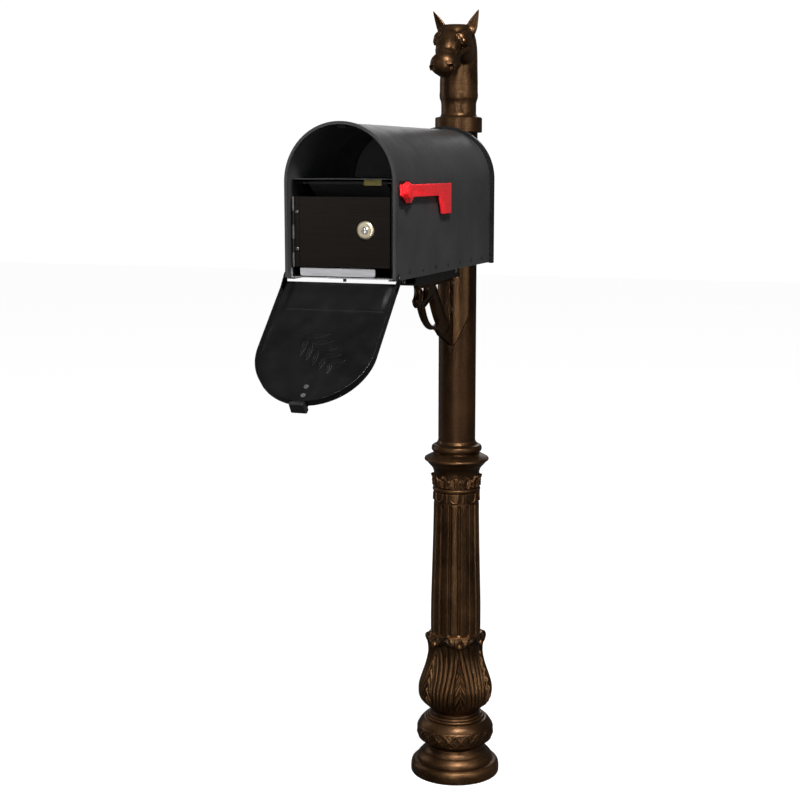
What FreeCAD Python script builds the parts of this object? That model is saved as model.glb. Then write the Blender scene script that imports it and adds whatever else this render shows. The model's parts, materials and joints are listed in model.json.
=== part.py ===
# Rural mailbox with a locking insert on an ornamental cast post with a horse head finial.
# Millimetres. Origin on the ground under the post axis, +Z up, the mailbox faces -Y.
import FreeCAD, Part
import Sketcher
import math
import os

os.makedirs("parts", exist_ok=True)
doc = FreeCAD.newDocument("Mailbox")
sheet = doc.addObject("Spreadsheet::Sheet", "Dimensions")

driving = {
    "pipeRadius": 38.1,
    "pipeWall": 3.2,
    "pipeTop": 1352.0,
    "castingGap": 0.3,
    "plateRadius": 80.0,
    "plateThickness": 8.0,
    "anchorCircle": 125.0,
    "anchorHole": 5.5,
    "footRadius": 92.8,
    "footTop": 59.0,
    "torusRadius": 79.6,
    "torusTop": 132.0,
    "vaseRadius": 75.1,
    "vaseTop": 304.0,
    "columnFoot": 51.5,
    "columnHead": 45.6,
    "columnTop": 605.0,
    "capitalTop": 661.0,
    "capRadius": 66.0,
    "capTop": 712.0,
    "collarBottom": 1335.0,
    "collarRadius": 46.8,
    "neckTop": 1424.0,
    "boxHalf": 95.0,
    "boxBottom": 1085.0,
    "spring": 1244.0,
    "boxFront": -622.0,
    "boxRear": -87.0,
    "sheetThickness": 1.6,
    "rimOut": 6.0,
    "doorPivotY": -618.0,
    "doorPivotZ": 1090.0,
    "doorOpen": 135.0,
    "flagPivotY": -588.0,
    "flagPivotZ": 1230.0,
    "insertLeft": -90.1,
    "insertRight": 84.0,
    "insertFront": -609.0,
    "insertDepth": 200.0,
    "insertTop": 1248.0,
    "leafHingeX": -87.9,
    "leafHingeY": -613.4,
    "lidBottom": 1105.0,
    "lidTop": 1220.0,
    "lockX": 39.6,
    "lockZ": 1166.0,
    "baffleY": -565.0,
    "baffleZ": 1242.0,
    "armBottom": 1052.0,
    "armTop": 1079.0,
    "saddleThickness": 6.0,
}
for row, (alias, number) in enumerate(driving.items(), start=1):
    sheet.set(f"A{row}", alias)
    sheet.set(f"B{row}", str(number))
    sheet.setAlias(f"B{row}", alias)
doc.recompute()


class Size:
    # a length that carries both its value and the expression that gives it
    def __init__(self, value, text):
        self.value = value
        self.text = text

    def __add__(self, other):
        return Size(self.value + number(other), f"({self.text} + {textOf(other)})")

    def __sub__(self, other):
        return Size(self.value - number(other), f"({self.text} - {textOf(other)})")

    def __rsub__(self, other):
        return Size(number(other) - self.value, f"({textOf(other)} - {self.text})")

    def __mul__(self, other):
        return Size(self.value * number(other), f"({self.text} * {textOf(other)})")

    def __truediv__(self, other):
        return Size(self.value / number(other), f"({self.text} / {textOf(other)})")

    def __neg__(self):
        return Size(-self.value, f"(-1 * {self.text})")

    __radd__ = __add__
    __rmul__ = __mul__


def number(size):
    return size.value if isinstance(size, Size) else float(size)


def textOf(size):
    return size.text if isinstance(size, Size) else repr(float(size))


class Dimensions:
    pass


d = Dimensions()
for alias, value in driving.items():
    setattr(d, alias, Size(value, f"Dimensions.{alias}"))

nodes = []


def finished(piece, label):
    piece.Label = label
    nodes.append(piece)
    return piece


def bind(piece, **sizes):
    for name, size in sizes.items():
        piece.setExpression(name, textOf(size))


def place(piece, x, y, z, axis=(0, 0, 1)):
    piece.Placement = FreeCAD.Placement(
        FreeCAD.Vector(number(x), number(y), number(z)),
        FreeCAD.Rotation(FreeCAD.Vector(0, 0, 1), FreeCAD.Vector(*axis)),
    )
    for name, size in (("x", x), ("y", y), ("z", z)):
        piece.setExpression(f"Placement.Base.{name}", textOf(size))


def box(name, low, sides):
    piece = doc.addObject("Part::Box", name)
    bind(piece, Length=sides[0], Width=sides[1], Height=sides[2])
    place(piece, *low)
    return piece


def rod(name, radius, length, at, axis=(0, 0, 1)):
    piece = doc.addObject("Part::Cylinder", name)
    bind(piece, Radius=radius, Height=length)
    place(piece, *at, axis)
    return piece


def cut(name, base, *tools):
    result = doc.addObject("Part::Cut", name)
    result.Base = base
    result.Tool = tools[0] if len(tools) == 1 else fuse(name + "Tools", *tools)
    return result


def fuse(name, *shapes):
    result = doc.addObject("Part::MultiFuse", name)
    result.Shapes = list(shapes)
    return result


def newBody(label):
    return finished(doc.addObject("PartDesign::Body", label), label)


def originPlane(body, role):
    return [item for item in body.Origin.OriginFeatures if item.Role == role][0]


def pin(sketch, geometry, position, across, up):
    # fixes one point of the sketch at a place that the sheet drives
    for kind, size, axis in (("DistanceX", across, -2), ("DistanceY", up, -1)):
        if number(size) == 0:
            sketch.addConstraint(Sketcher.Constraint("PointOnObject", geometry, position, axis))
            continue
        index = sketch.addConstraint(
            Sketcher.Constraint(kind, -1, 1, geometry, position, number(size))
        )
        sketch.setExpression(f"Constraints[{index}]", textOf(size))


def flat(point):
    return FreeCAD.Vector(number(point[0]), number(point[1]), 0)


def drawLoop(sketch, corners):
    # each corner is (across, up), with a third entry where an arc through that point follows it
    first = sketch.GeometryCount
    ends = []
    for corner, following in zip(corners, corners[1:] + corners[:1]):
        here = flat(corner)
        there = flat(following)
        if len(corner) == 2:
            sketch.addGeometry(Part.LineSegment(here, there), False)
            ends.append((1, 2))
            continue
        middle = flat(corner[2])
        sketch.addGeometry(Part.Arc(here, middle, there), False)
        turn = (middle - here).cross(there - middle).z
        ends.append((1, 2) if turn > 0 else (2, 1))
    for step, corner in enumerate(corners):
        geometry = first + step
        following = (step + 1) % len(corners)
        sketch.addConstraint(
            Sketcher.Constraint(
                "Coincident", geometry, ends[step][1], first + following, ends[following][0]
            )
        )
        pin(sketch, geometry, ends[step][0], corner[0], corner[1])
        if len(corner) == 3:
            chord = flat(corners[following]) - flat(corner)
            centre = sketch.Geometry[geometry].Center
            side = ("DistanceY", centre.y, -1) if abs(chord.x) > abs(chord.y) else ("DistanceX", centre.x, -2)
            pinCentre(sketch, geometry, *side)


def pinCentre(sketch, geometry, kind, value, axis):
    if abs(value) < 1e-9:
        sketch.addConstraint(Sketcher.Constraint("PointOnObject", geometry, 3, axis))
    else:
        sketch.addConstraint(Sketcher.Constraint(kind, -1, 1, geometry, 3, value))


def drawCircle(sketch, across, up, radius):
    ring = Part.Circle(flat((across, up)), FreeCAD.Vector(0, 0, 1), number(radius))
    geometry = sketch.addGeometry(ring, False)
    pin(sketch, geometry, 3, across, up)
    index = sketch.addConstraint(Sketcher.Constraint("Radius", geometry, number(radius)))
    sketch.setExpression(f"Constraints[{index}]", textOf(radius))


def newSketch(body, role, offset=0):
    sketch = body.newObject("Sketcher::SketchObject", body.Name + "Sketch")
    sketch.AttachmentSupport = [(originPlane(body, role), "")]
    sketch.MapMode = "FlatFace"
    sketch.AttachmentOffset = FreeCAD.Placement(
        FreeCAD.Vector(0, 0, number(offset)), FreeCAD.Rotation()
    )
    sketch.setExpression("AttachmentOffset.Base.z", textOf(offset))
    return sketch


def pad(body, role, length, loops=(), circles=(), offset=0):
    # the pad leaves its plane towards +Z, -Y or +X for the XY, XZ and YZ planes
    sketch = newSketch(body, role, offset)
    for loop in loops:
        drawLoop(sketch, loop)
    for circle in circles:
        drawCircle(sketch, *circle)
    feature = body.newObject("PartDesign::Pad", body.Name + "Pad")
    feature.Profile = sketch
    bind(feature, Length=length)
    sketch.Visibility = False
    return feature


def pocketThrough(body, role, loops=(), circles=(), offset=0, length=None):
    # cuts both ways from its plane: through everything, or half of length each way
    sketch = newSketch(body, role, offset)
    for loop in loops:
        drawLoop(sketch, loop)
    for circle in circles:
        drawCircle(sketch, *circle)
    feature = body.newObject("PartDesign::Pocket", body.Name + "Pocket")
    feature.Profile = sketch
    feature.SideType = "Symmetric"
    if length is None:
        feature.Type = "ThroughAll"
    else:
        bind(feature, Length=length)
    sketch.Visibility = False
    return feature


def turned(label, profile, role="XZ_Plane"):
    body = newBody(label)
    sketch = newSketch(body, role)
    drawLoop(sketch, profile)
    feature = body.newObject("PartDesign::Revolution", label + "Turned")
    feature.Profile = sketch
    feature.ReferenceAxis = (sketch, ["V_Axis"])
    feature.Angle = 360
    sketch.Visibility = False
    return body


def fastener(label, head, headHeight, shank, length, at, axis):
    # a domed head whose underside is at the given point, and a shank behind it
    profile = [
        (0, -length),
        (shank, -length),
        (shank, 0),
        (head, 0),
        (head, headHeight * 0.35, (head * 0.78, headHeight * 0.8)),
        (head * 0.4, headHeight),
        (0, headHeight),
    ]
    body = turned(label, profile)
    place(body, *at, axis)
    return body


def nut(label, flats, height, hole, at, axis):
    blank = doc.addObject("Part::Prism", label + "Blank")
    blank.Polygon = 6
    bind(blank, Circumradius=flats / math.sqrt(3), Height=height)
    place(blank, *at, axis)
    return finished(cut(label, blank, rod(label + "Bore", hole, height, at, axis)), label)


# ---- post ----
boreRadius = d.pipeRadius + d.castingGap


def anchorPlate():
    body = newBody("anchor_plate")
    pad(body, "XY_Plane", d.plateThickness, circles=[(0, 0, d.plateRadius)])
    # holes on the diagonals of the square
    diagonal = d.anchorCircle / 2 * math.sqrt(0.5)
    sketch = newSketch(body, "XY_Plane")
    drawCircle(sketch, diagonal, diagonal, d.anchorHole)
    hole = body.newObject("PartDesign::Pocket", "AnchorHole")
    hole.Profile = sketch
    hole.Type = "ThroughAll"
    hole.Reversed = True
    ring = body.newObject("PartDesign::PolarPattern", "AnchorHoles")
    ring.Originals = [hole]
    ring.Axis = (sketch, ["N_Axis"])
    ring.Angle = 360
    ring.Occurrences = 4
    # the pattern turns about the sketch's own normal through the post axis
    body.Tip = ring


def postPipe():
    body = newBody("post_pipe")
    pad(
        body,
        "XY_Plane",
        d.pipeTop - d.plateThickness,
        circles=[(0, 0, d.pipeRadius), (0, 0, d.pipeRadius - d.pipeWall)],
        offset=d.plateThickness,
    )
    pocketThrough(body, "XZ_Plane", circles=[(0, z, boltRadius + 0.2) for z in saddleBoltHeights])


def postCastings():
    foot = d.footRadius
    turned("base_foot", [
        (foot - 10.8, 0),
        (foot, 0),
        (foot, 4, (foot - 0.4, 17)),
        (foot - 6.6, 26),
        (foot - 13.6, 28.5, (foot - 15.8, 37)),
        (foot - 24.7, 44),
        (foot - 26, 46, (foot - 30.6, 51)),
        (foot - 32, d.footTop),
        (boreRadius, d.footTop),
        (boreRadius, 27),
        (foot - 22.8, 27),
        (foot - 10.8, 11),
    ])
    torus = d.torusRadius
    turned("base_torus", [
        (boreRadius, d.footTop),
        (torus - 19, d.footTop),
        (torus - 15.4, d.footTop + 6, (torus, d.footTop + 32)),
        (torus - 14, d.torusTop - 14),
        (torus - 22, d.torusTop - 12, (torus - 18.6, d.torusTop - 8.4)),
        (torus - 23.4, d.torusTop - 5),
        (torus - 29.6, d.torusTop),
        (boreRadius, d.torusTop),
    ])
    vase = d.vaseRadius
    turned("acanthus_vase", [
        (boreRadius, d.torusTop),
        (vase - 25.3, d.torusTop, (vase - 7.2, 158)),
        (vase, 181, (vase - 7.8, 210)),
        (vase - 16.2, 238, (vase - 21.4, 268)),
        (vase - 16.3, 292),
        (vase - 17.6, 300),
        (vase - 21, d.vaseTop),
        (boreRadius, d.vaseTop),
    ])
    turned("fluted_column", [
        (boreRadius, d.vaseTop),
        (d.columnFoot, d.vaseTop),
        (d.columnFoot, 380),
        (d.columnHead, 585),
        (d.columnHead, d.columnTop),
        (boreRadius, d.columnTop),
    ])
    head = d.columnHead
    turned("capital_band", [
        (boreRadius, d.columnTop),
        (head + 1, d.columnTop, (head + 3.4, 611)),
        (head + 1, 617),
        (head + 0.9, 623, (head + 3, 633)),
        (head + 0.9, 643),
        (head + 2, 649, (head + 4, 655)),
        (head + 9.1, d.capitalTop),
        (boreRadius, d.capitalTop),
    ])
    cap = d.capRadius
    turned("cap_ring", [
        (boreRadius, d.capitalTop),
        (cap - 11.3, d.capitalTop, (cap - 6, 663)),
        (cap - 3, 668, (cap, 674)),
        (cap - 3.1, 680, (cap - 9, 684)),
        (cap - 20.6, 687),
        (cap - 16, 689, (cap - 14.4, 696)),
        (cap - 16, 703),
        (cap - 22, 705),
        (cap - 26, d.capTop),
        (boreRadius, d.capTop),
    ])


def postScrews():
    screwRadius = 2.4
    # set screws in the cap ring and the finial collar, on the side that faces the street
    for label, height, radius in (
        ("cap_ring_screw", d.capTop - 16, d.capRadius - 14.4),
        ("collar_screw", d.collarBottom + 13, d.collarRadius),
    ):
        angle = math.radians(-68)
        way = (math.cos(angle), math.sin(angle), 0)
        inner = d.pipeRadius + 0.1
        screw = rod(
            label + "Shank", screwRadius, radius - inner - 1.2, (inner * way[0], inner * way[1], height), way
        )
        head = rod(label + "Socket", 1.3, 3, ((radius - 4) * way[0], (radius - 4) * way[1], height), way)
        finished(cut(label, screw, head), label)


boltRadius = 4.0
saddleBoltHeights = [1038.0, 985.0]


def finial():
    collar = d.collarRadius
    foot = d.collarBottom
    turned("finial_collar", [
        (boreRadius, foot),
        (collar - 1, foot),
        (collar, foot + 1.5),
        (collar, foot + 28),
        (collar - 2, foot + 30, (collar - 9.5, foot + 32)),
        (collar - 12, foot + 38),
        (collar - 12, foot + 55, (collar - 11, foot + 61)),
        (collar - 9.2, foot + 66, (collar - 8.4, foot + 73)),
        (collar - 9, foot + 80),
        (collar - 9, d.neckTop),
        (0, d.neckTop),
        (0, d.pipeTop + 3),
        (boreRadius, d.pipeTop + 3),
    ])
    # neck, skull, cheeks and muzzle as overlapping rounds, with the crest and the ears on top
    rounds = [
        ("NeckFoot", (0, 0, 1424), (37.5, 37.5, 34), 0),
        ("NeckMiddle", (0, 3, 1462), (37, 37, 52), 4),
        ("NeckCrest", (0, 5, 1504), (34, 34, 42), 0),
        ("Skull", (0, -27, 1523), (33, 37, 28), 18),
        ("Cheeks", (0, -27, 1497), (30, 30, 26), 25),
        ("Bridge", (0, -66, 1497), (23, 42, 21), 50),
        ("Muzzle", (0, -96, 1463), (26, 21, 23), 0),
    ]
    pieces = []
    for name, centre, radii, tilt in rounds:
        piece = doc.addObject("Part::Ellipsoid", "Horse" + name)
        # Radius1 runs up, Radius2 across and Radius3 along the muzzle
        bind(piece, Radius1=radii[2], Radius2=radii[0], Radius3=radii[1])
        piece.Placement = FreeCAD.Placement(
            FreeCAD.Vector(*centre), FreeCAD.Rotation(FreeCAD.Vector(1, 0, 0), tilt)
        )
        pieces.append(piece)
    for side in (-1, 1):
        ear = doc.addObject("Part::Cone", "HorseEar")
        bind(ear, Radius1=12, Radius2=1.5, Height=46)
        place(ear, side * 27, -14, 1532, (side * 0.457, -0.196, 0.867))
        pieces.append(ear)
    floor = box("HorseSeat", (-60, -60, d.neckTop - 60), (120, 120, 60))
    finished(cut("horse_head", fuse("HorseRounds", *pieces), floor), "horse_head")


# ---- bracket ----
def saddle():
    body = newBody("bracket_saddle")
    inner = d.pipeRadius + 0.1
    outer = inner + d.saddleThickness
    half = math.radians(48)
    low = (-math.sin(half), -math.cos(half))
    high = (math.sin(half), -math.cos(half))
    pad(
        body,
        "XY_Plane",
        d.armTop - 900,
        loops=[[
            (inner * low[0], inner * low[1], (0, -inner)),
            (inner * high[0], inner * high[1]),
            (outer * high[0], outer * high[1], (0, -outer)),
            (outer * low[0], outer * low[1]),
        ]],
        offset=900,
    )
    # the plate narrows to a leaf tip at its foot
    for side in (-1, 1):
        pocketThrough(body, "XZ_Plane", loops=[[
            (side * 60, 890),
            (side * 60, 1010),
            (side * 40, 1000, (side * 20, 940)),
            (side * 3, 906),
            (side * 3, 890),
        ]])
    pocketThrough(body, "XZ_Plane", circles=[(0, z, boltRadius + 0.2) for z in saddleBoltHeights])


def saddleBolts():
    front = -(d.pipeRadius + 0.1 + d.saddleThickness)
    rear = d.pipeRadius + 0.2
    for name, height in zip(("upper", "lower"), saddleBoltHeights):
        fastener(
            f"saddle_bolt_{name}", 7.5, 4.2, boltRadius, rear - front + 9, (0, front, height), (0, -1, 0)
        )
        nut(f"saddle_nut_{name}", 13, 6.5, boltRadius + 0.05, (0, rear, height), (0, 1, 0))


def supportArm():
    front = -(d.pipeRadius + 0.1 + d.saddleThickness)
    blank = box("ArmBlank", (-18, -300, d.armBottom), (36, front + 300, d.armTop - d.armBottom))
    hollow = box("ArmHollow", (-15, -303, d.armBottom + 3), (30, front + 290, d.armTop - d.armBottom - 6))
    finished(cut("support_arm", blank, hollow), "support_arm")


def mountingPlate():
    body = newBody("mounting_plate")
    low = d.armTop
    high = d.boxBottom - 0.1
    wide = 65
    pad(body, "XZ_Plane", 400, loops=[[
        (-wide, low),
        (wide, low),
        (wide, high),
        (-wide, high),
    ]], offset=120)
    pocketThrough(body, "XY_Plane", circles=[(x, y, 3.2) for x, y in plateBolts])


plateBolts = [(-55.0, -180.0), (55.0, -180.0), (-55.0, -470.0), (55.0, -470.0)]


def plateBoltSet():
    # head inside the floor pan, shank through the pan and the plate
    top = d.boxBottom + 3.1
    for index, (x, y) in enumerate(plateBolts, start=1):
        fastener(f"plate_bolt_{index}", 6, 3, 3, 18, (x, y, top), (0, 0, 1))


def scrollBrace():
    body = newBody("scroll_brace")
    top = d.armBottom
    wide = 12
    rear = -(d.pipeRadius + 0.2 + d.saddleThickness)
    outer = [
        (rear, top),
        (-262, top, (-249, top - 14)),
        (-261, top - 30, (-252, top - 44)),
        (-234, top - 46, (-196, top - 84)),
        (-138, top - 97),
        (-112, top - 113, (-76, top - 128)),
        (rear, top - 141),
    ]
    pad(body, "YZ_Plane", wide, loops=[outer], offset=-wide / 2)
    # the crescent between the outer sweep and the inner scroll, then the two upper gaps
    pocketThrough(body, "YZ_Plane", loops=[
        [
            (-214, top - 48, (-172, top - 86)),
            (-128, top - 86, (-150, top - 62)),
            (-168, top - 32, (-190, top - 40)),
        ],
        [
            (-236, top - 10),
            (-196, top - 10, (-204, top - 26)),
            (-228, top - 32, (-226, top - 20)),
        ],
        [
            (-150, top - 10),
            (-62, top - 10),
            (-62, top - 100, (-96, top - 66)),
        ],
    ])
    # notches that clear the heads of the saddle bolts
    headRoom = 9.0
    for height in saddleBoltHeights:
        pocketThrough(body, "YZ_Plane", loops=[[
            (rear + 5, height - headRoom),
            (rear + 5, height + headRoom),
            (rear - 6, height + headRoom),
            (rear - 6, height - headRoom),
        ]])


# ---- mailbox shell ----
def archLoop(half, bottom):
    # up one side, over the half round and down the other
    return [
        (half, bottom),
        (half, d.spring, (0, d.spring + half)),
        (-half, d.spring),
        (-half, bottom),
    ]


def archBand(outer, inner, bottom):
    return archLoop(outer, bottom) + [
        (-inner, bottom),
        (-inner, d.spring, (0, d.spring + inner)),
        (inner, d.spring),
        (inner, bottom),
    ]


rivetCount = 7
rivetFirst = -147.0
rivetPitch = 67.7
rivetHeight = 1097.0
rivetRadius = 2.4


def bodyShell():
    body = newBody("body_shell")
    half = d.boxHalf
    inner = half - d.sheetThickness
    bottom = d.boxBottom
    turn = 12
    pad(body, "XZ_Plane", d.boxRear - d.boxFront, loops=[[
        (half - turn, bottom),
        (half, bottom),
        (half, d.spring, (0, d.spring + half)),
        (-half, d.spring),
        (-half, bottom),
        (turn - half, bottom),
        (turn - half, bottom + d.sheetThickness),
        (-inner, bottom + d.sheetThickness),
        (-inner, d.spring, (0, d.spring + inner)),
        (inner, d.spring),
        (inner, bottom + d.sheetThickness),
        (half - turn, bottom + d.sheetThickness),
    ]], offset=-d.boxRear)
    # the rolled edge round the mouth
    bead = 2.5
    pad(
        body,
        "XZ_Plane",
        7,
        loops=[archBand(half + bead, half - bead, bottom + bead)],
        offset=-d.boxFront - 2,
    )
    pocketThrough(body, "YZ_Plane", circles=[
        (rivetFirst - step * rivetPitch, rivetHeight, rivetRadius + 0.1) for step in range(rivetCount)
    ])
    pocketThrough(body, "YZ_Plane", circles=[(d.doorPivotY, d.doorPivotZ, 2.6)])
    flagHole = newSketch(body, "YZ_Plane", 85)
    drawCircle(flagHole, d.flagPivotY, d.flagPivotZ, 3.2)
    feature = body.newObject("PartDesign::Pocket", "FlagHole")
    feature.Profile = flagHole
    feature.Reversed = True
    feature.Length = 20


def rearPanel():
    body = newBody("rear_panel")
    half = d.boxHalf + d.rimOut
    bottom = d.boxBottom - 1.6
    pad(body, "XZ_Plane", 2, loops=[archLoop(half, bottom)], offset=-d.boxRear - 2)
    band = archBand(half, d.boxHalf + 0.1, bottom)
    pad(body, "XZ_Plane", 10, loops=[band], offset=-d.boxRear)


def floorPan():
    body = newBody("floor_pan")
    outer = d.boxHalf - d.sheetThickness - 0.1
    low = d.boxBottom + d.sheetThickness + 0.1
    gauge = 1.4
    pad(body, "XZ_Plane", 521, loops=[[
        (-outer, low),
        (outer, low),
        (outer, low + 16),
        (outer - gauge, low + 16),
        (outer - gauge, low + gauge),
        (gauge - outer, low + gauge),
        (gauge - outer, low + 16),
        (-outer, low + 16),
    ]], offset=-d.boxRear + 2)
    pocketThrough(body, "YZ_Plane", circles=[
        (rivetFirst - step * rivetPitch, rivetHeight, rivetRadius + 0.1) for step in range(rivetCount)
    ])
    pocketThrough(body, "XY_Plane", circles=[(x, y, 3.2) for x, y in plateBolts])


def floorRivets():
    # one strip of rivets for each side, all alike
    for name, side in (("left", -1), ("right", 1)):
        strip = []
        for step in range(rivetCount):
            y = rivetFirst - step * rivetPitch
            inner = d.boxHalf * side - side * 3.2
            shank = rod("RivetShank", rivetRadius, 3.4, (inner, y, rivetHeight), (side, 0, 0))
            head = doc.addObject("Part::Cone", "RivetHead")
            bind(head, Radius1=4.4, Radius2=2.2, Height=1.5)
            place(head, d.boxHalf * side + side * 0.02, y, rivetHeight, (side, 0, 0))
            strip += [shank, head]
        finished(fuse(f"floor_rivets_{name}", *strip), f"floor_rivets_{name}")


def catchSpring():
    body = newBody("catch_spring")
    roof = d.spring + d.boxHalf - d.sheetThickness - 0.6
    pad(body, "YZ_Plane", 14, loops=[[
        (-560, roof),
        (-618, roof - 2.2),
        (-612, roof - 6.6),
        (-606, roof - 3.6),
        (-560, roof - 1.4),
    ]], offset=-7)


# ---- mailbox door, drawn closed about its pivot and then swung open ----
def openPlacement():
    return FreeCAD.Placement(
        FreeCAD.Vector(0, driving["doorPivotY"], driving["doorPivotZ"]),
        FreeCAD.Rotation(FreeCAD.Vector(1, 0, 0), driving["doorOpen"]),
    )


def swingDoor(piece):
    piece.Placement = openPlacement()
    piece.setExpression("Placement.Base.y", textOf(d.doorPivotY))
    piece.setExpression("Placement.Base.z", textOf(d.doorPivotZ))
    piece.setExpression("Placement.Rotation.Angle", textOf(d.doorOpen))


def doorPanel():
    body = newBody("door_panel")
    half = d.boxHalf + d.rimOut
    inner = half - d.sheetThickness
    rise = d.spring - d.doorPivotZ
    face = 11.2
    foot = 4
    outline = [
        (half, foot),
        (half, rise, (0, rise + half)),
        (-half, rise),
        (-half, foot),
    ]
    pad(body, "XZ_Plane", d.sheetThickness, loops=[outline], offset=face - d.sheetThickness)
    rim = outline + [
        (-inner, foot),
        (-inner, rise, (0, rise + inner)),
        (inner, rise),
        (inner, foot),
    ]
    pad(body, "XZ_Plane", 14.2 - d.sheetThickness, loops=[rim], offset=-3)
    # ears beside the mailbox carry the pivots
    ear = [
        (-face, foot + 0.5),
        (-face, 26),
        (3, 26),
        (7, 0, (0, -7)),
        (-7, 0, (-9, 2.2)),
    ]
    pad(body, "YZ_Plane", d.sheetThickness, loops=[ear], offset=inner)
    pad(body, "YZ_Plane", d.sheetThickness, loops=[ear], offset=-half)
    pocketThrough(body, "YZ_Plane", circles=[(0, 0, 2.57)])
    pocketThrough(body, "XZ_Plane", circles=[(0, z, 2.2) for z in latchRivetHeights])
    swingDoor(body)


latchRivetHeights = [219.0, 236.0]


def doorLatchTab():
    body = newBody("door_latch_tab")
    top = d.spring - d.doorPivotZ + d.boxHalf + d.rimOut
    pad(body, "YZ_Plane", 24, loops=[[
        (-18, top + 0.4),
        (-13.6, top + 0.4),
        (-13.6, top - 50),
        (-11.5, top - 50),
        (-11.5, top + 0.2),
        (2, top + 0.2),
        (4, top + 4),
        (4, top + 9),
        (-10, top + 12, (-15, top + 11)),
        (-18, top + 7),
    ]], offset=-12)
    pocketThrough(body, "XZ_Plane", circles=[(0, z, 2.2) for z in latchRivetHeights])
    swingDoor(body)


def doorRivets():
    for name, height in zip(("inner", "outer"), latchRivetHeights):
        body = turned(f"door_rivet_{name}", [
            (0, 0),
            (4, 0, (3.2, 1.1)),
            (2.1, 1.4),
            (2.1, 4.2),
            (0, 4.2),
        ])
        body.Placement = openPlacement().multiply(
            FreeCAD.Placement(
                FreeCAD.Vector(0, -8.1, height),
                FreeCAD.Rotation(FreeCAD.Vector(0, 0, 1), FreeCAD.Vector(0, -1, 0)),
            )
        )


def doorPivots():
    reach = d.boxHalf + d.rimOut + 0.4
    for name, side in (("left", -1), ("right", 1)):
        fastener(
            f"door_pivot_{name}", 4.6, 2, 2.5, 9.4, (reach * side, d.doorPivotY, d.doorPivotZ), (side, 0, 0)
        )


# ---- flag ----
flagFace = 98.8
flagGauge = 3.0


def flagMount():
    body = newBody("flag_mount")
    y = d.flagPivotY
    z = d.flagPivotZ
    pad(body, "YZ_Plane", 2.9, loops=[[
        (y - 16, z - 24),
        (y + 30, z - 24),
        (y + 30, z + 16),
        (y - 16, z + 16),
    ]], circles=[(y, z, 3.2)], offset=d.boxHalf + 0.1)


def flagPlate():
    body = newBody("flag")
    y = d.flagPivotY
    z = d.flagPivotZ
    arm = z + 10
    pad(body, "YZ_Plane", flagGauge, loops=[[
        (y - 24, arm),
        (y + 235, arm),
        (y + 235, z - 43),
        (y + 184, z - 43),
        (y + 168, z - 11),
        (y + 36, z - 11),
        (y + 26, z - 20),
        (y + 4, z - 20),
        (y - 6, z - 12),
        (y - 24, z - 8),
    ]], circles=[(y, z, 3.07)], offset=flagFace)


def flagPivot():
    reach = flagFace + flagGauge + 0.4
    fastener("flag_pivot_bolt", 7, 3.2, 3, reach - 87.5, (reach, d.flagPivotY, d.flagPivotZ), (1, 0, 0))
    nut("flag_nut", 10, 4, 3.05, (89.3, d.flagPivotY, d.flagPivotZ), (1, 0, 0))


# ---- locking insert ----
wall = 1.4


def insertChassis():
    body = newBody("insert_chassis")
    bottom = d.boxBottom + 3.3
    left = d.insertLeft
    right = d.insertRight
    top = d.insertTop
    pad(body, "XZ_Plane", d.insertDepth, loops=[[
        (left - wall, bottom),
        (right + wall, bottom),
        (right + wall, top),
        (right, top),
        (right, bottom + wall),
        (left, bottom + wall),
        (left, top),
        (left - wall, top),
    ]], offset=-d.insertFront - d.insertDepth)
    # the right jamb, which the cam turns behind
    pad(body, "XZ_Plane", wall, loops=[[
        (right - 10, d.lidBottom),
        (right + 0.5, d.lidBottom),
        (right + 0.5, d.lidTop),
        (right - 10, d.lidTop),
    ]], offset=-d.insertFront - 10.8)
    pocketThrough(body, "YZ_Plane", circles=[(d.baffleY, d.baffleZ, 2.1)])
    pocketThrough(body, "XY_Plane", circles=[(x, y, 7) for x, y in plateBolts[2:]], offset=bottom, length=8)


def insertPlates():
    width = d.insertRight - d.insertLeft + 2 * wall
    rear = d.insertFront + 280
    finished(
        box(
            "insert_top_plate",
            (d.insertLeft - wall, d.insertFront, d.insertTop + 0.02),
            (width, 280, wall),
        ),
        "insert_top_plate",
    )
    back = newBody("insert_back_plate")
    half = d.boxHalf - d.sheetThickness - 0.8
    pad(back, "XZ_Plane", wall, loops=[[
        (half - 1.5, d.insertTop + wall + 0.1, (0, d.spring + half)),
        (1.5 - half, d.insertTop + wall + 0.1),
    ]], offset=-rear)
    sill = newBody("insert_sill")
    low = d.boxBottom + 4.8
    high = d.lidBottom - 2
    pad(sill, "XZ_Plane", 1.2, loops=[[
        (-74, low),
        (51, low, (53.8, low + 1.2)),
        (55, low + 4),
        (55, high),
        (-78, high),
        (-78, low + 4, (-76.8, low + 1.2)),
    ]], offset=-d.insertFront - 1.4)
    clip = newBody("insert_clip")
    under = d.insertTop
    pad(clip, "YZ_Plane", 31, loops=[[
        (-573, under - 10),
        (-571.8, under - 10),
        (-571.8, under - 1.2),
        (-556, under - 1.2),
        (-556, under),
        (-573, under),
    ]], offset=22)


def insertLid():
    body = newBody("insert_door")
    front = d.insertFront - 2
    pad(body, "YZ_Plane", 168, loops=[[
        (front, d.lidBottom),
        (front + 9, d.lidBottom),
        (front + 9, d.lidBottom + 1.6),
        (front + 1.6, d.lidBottom + 1.6),
        (front + 1.6, d.lidTop - 1.6),
        (front + 9, d.lidTop - 1.6),
        (front + 9, d.lidTop),
        (front, d.lidTop),
    ]], offset=-86)
    pocketThrough(body, "XZ_Plane", circles=[(d.lockX, d.lockZ, 9.6)])
    pocketThrough(body, "XZ_Plane", circles=[(leafScrewX, z, 2) for z in leafScrewHeights])


leafScrewX = -81.6
leafScrewHeights = [1134.0, 1194.5]
knuckles = 5


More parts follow.
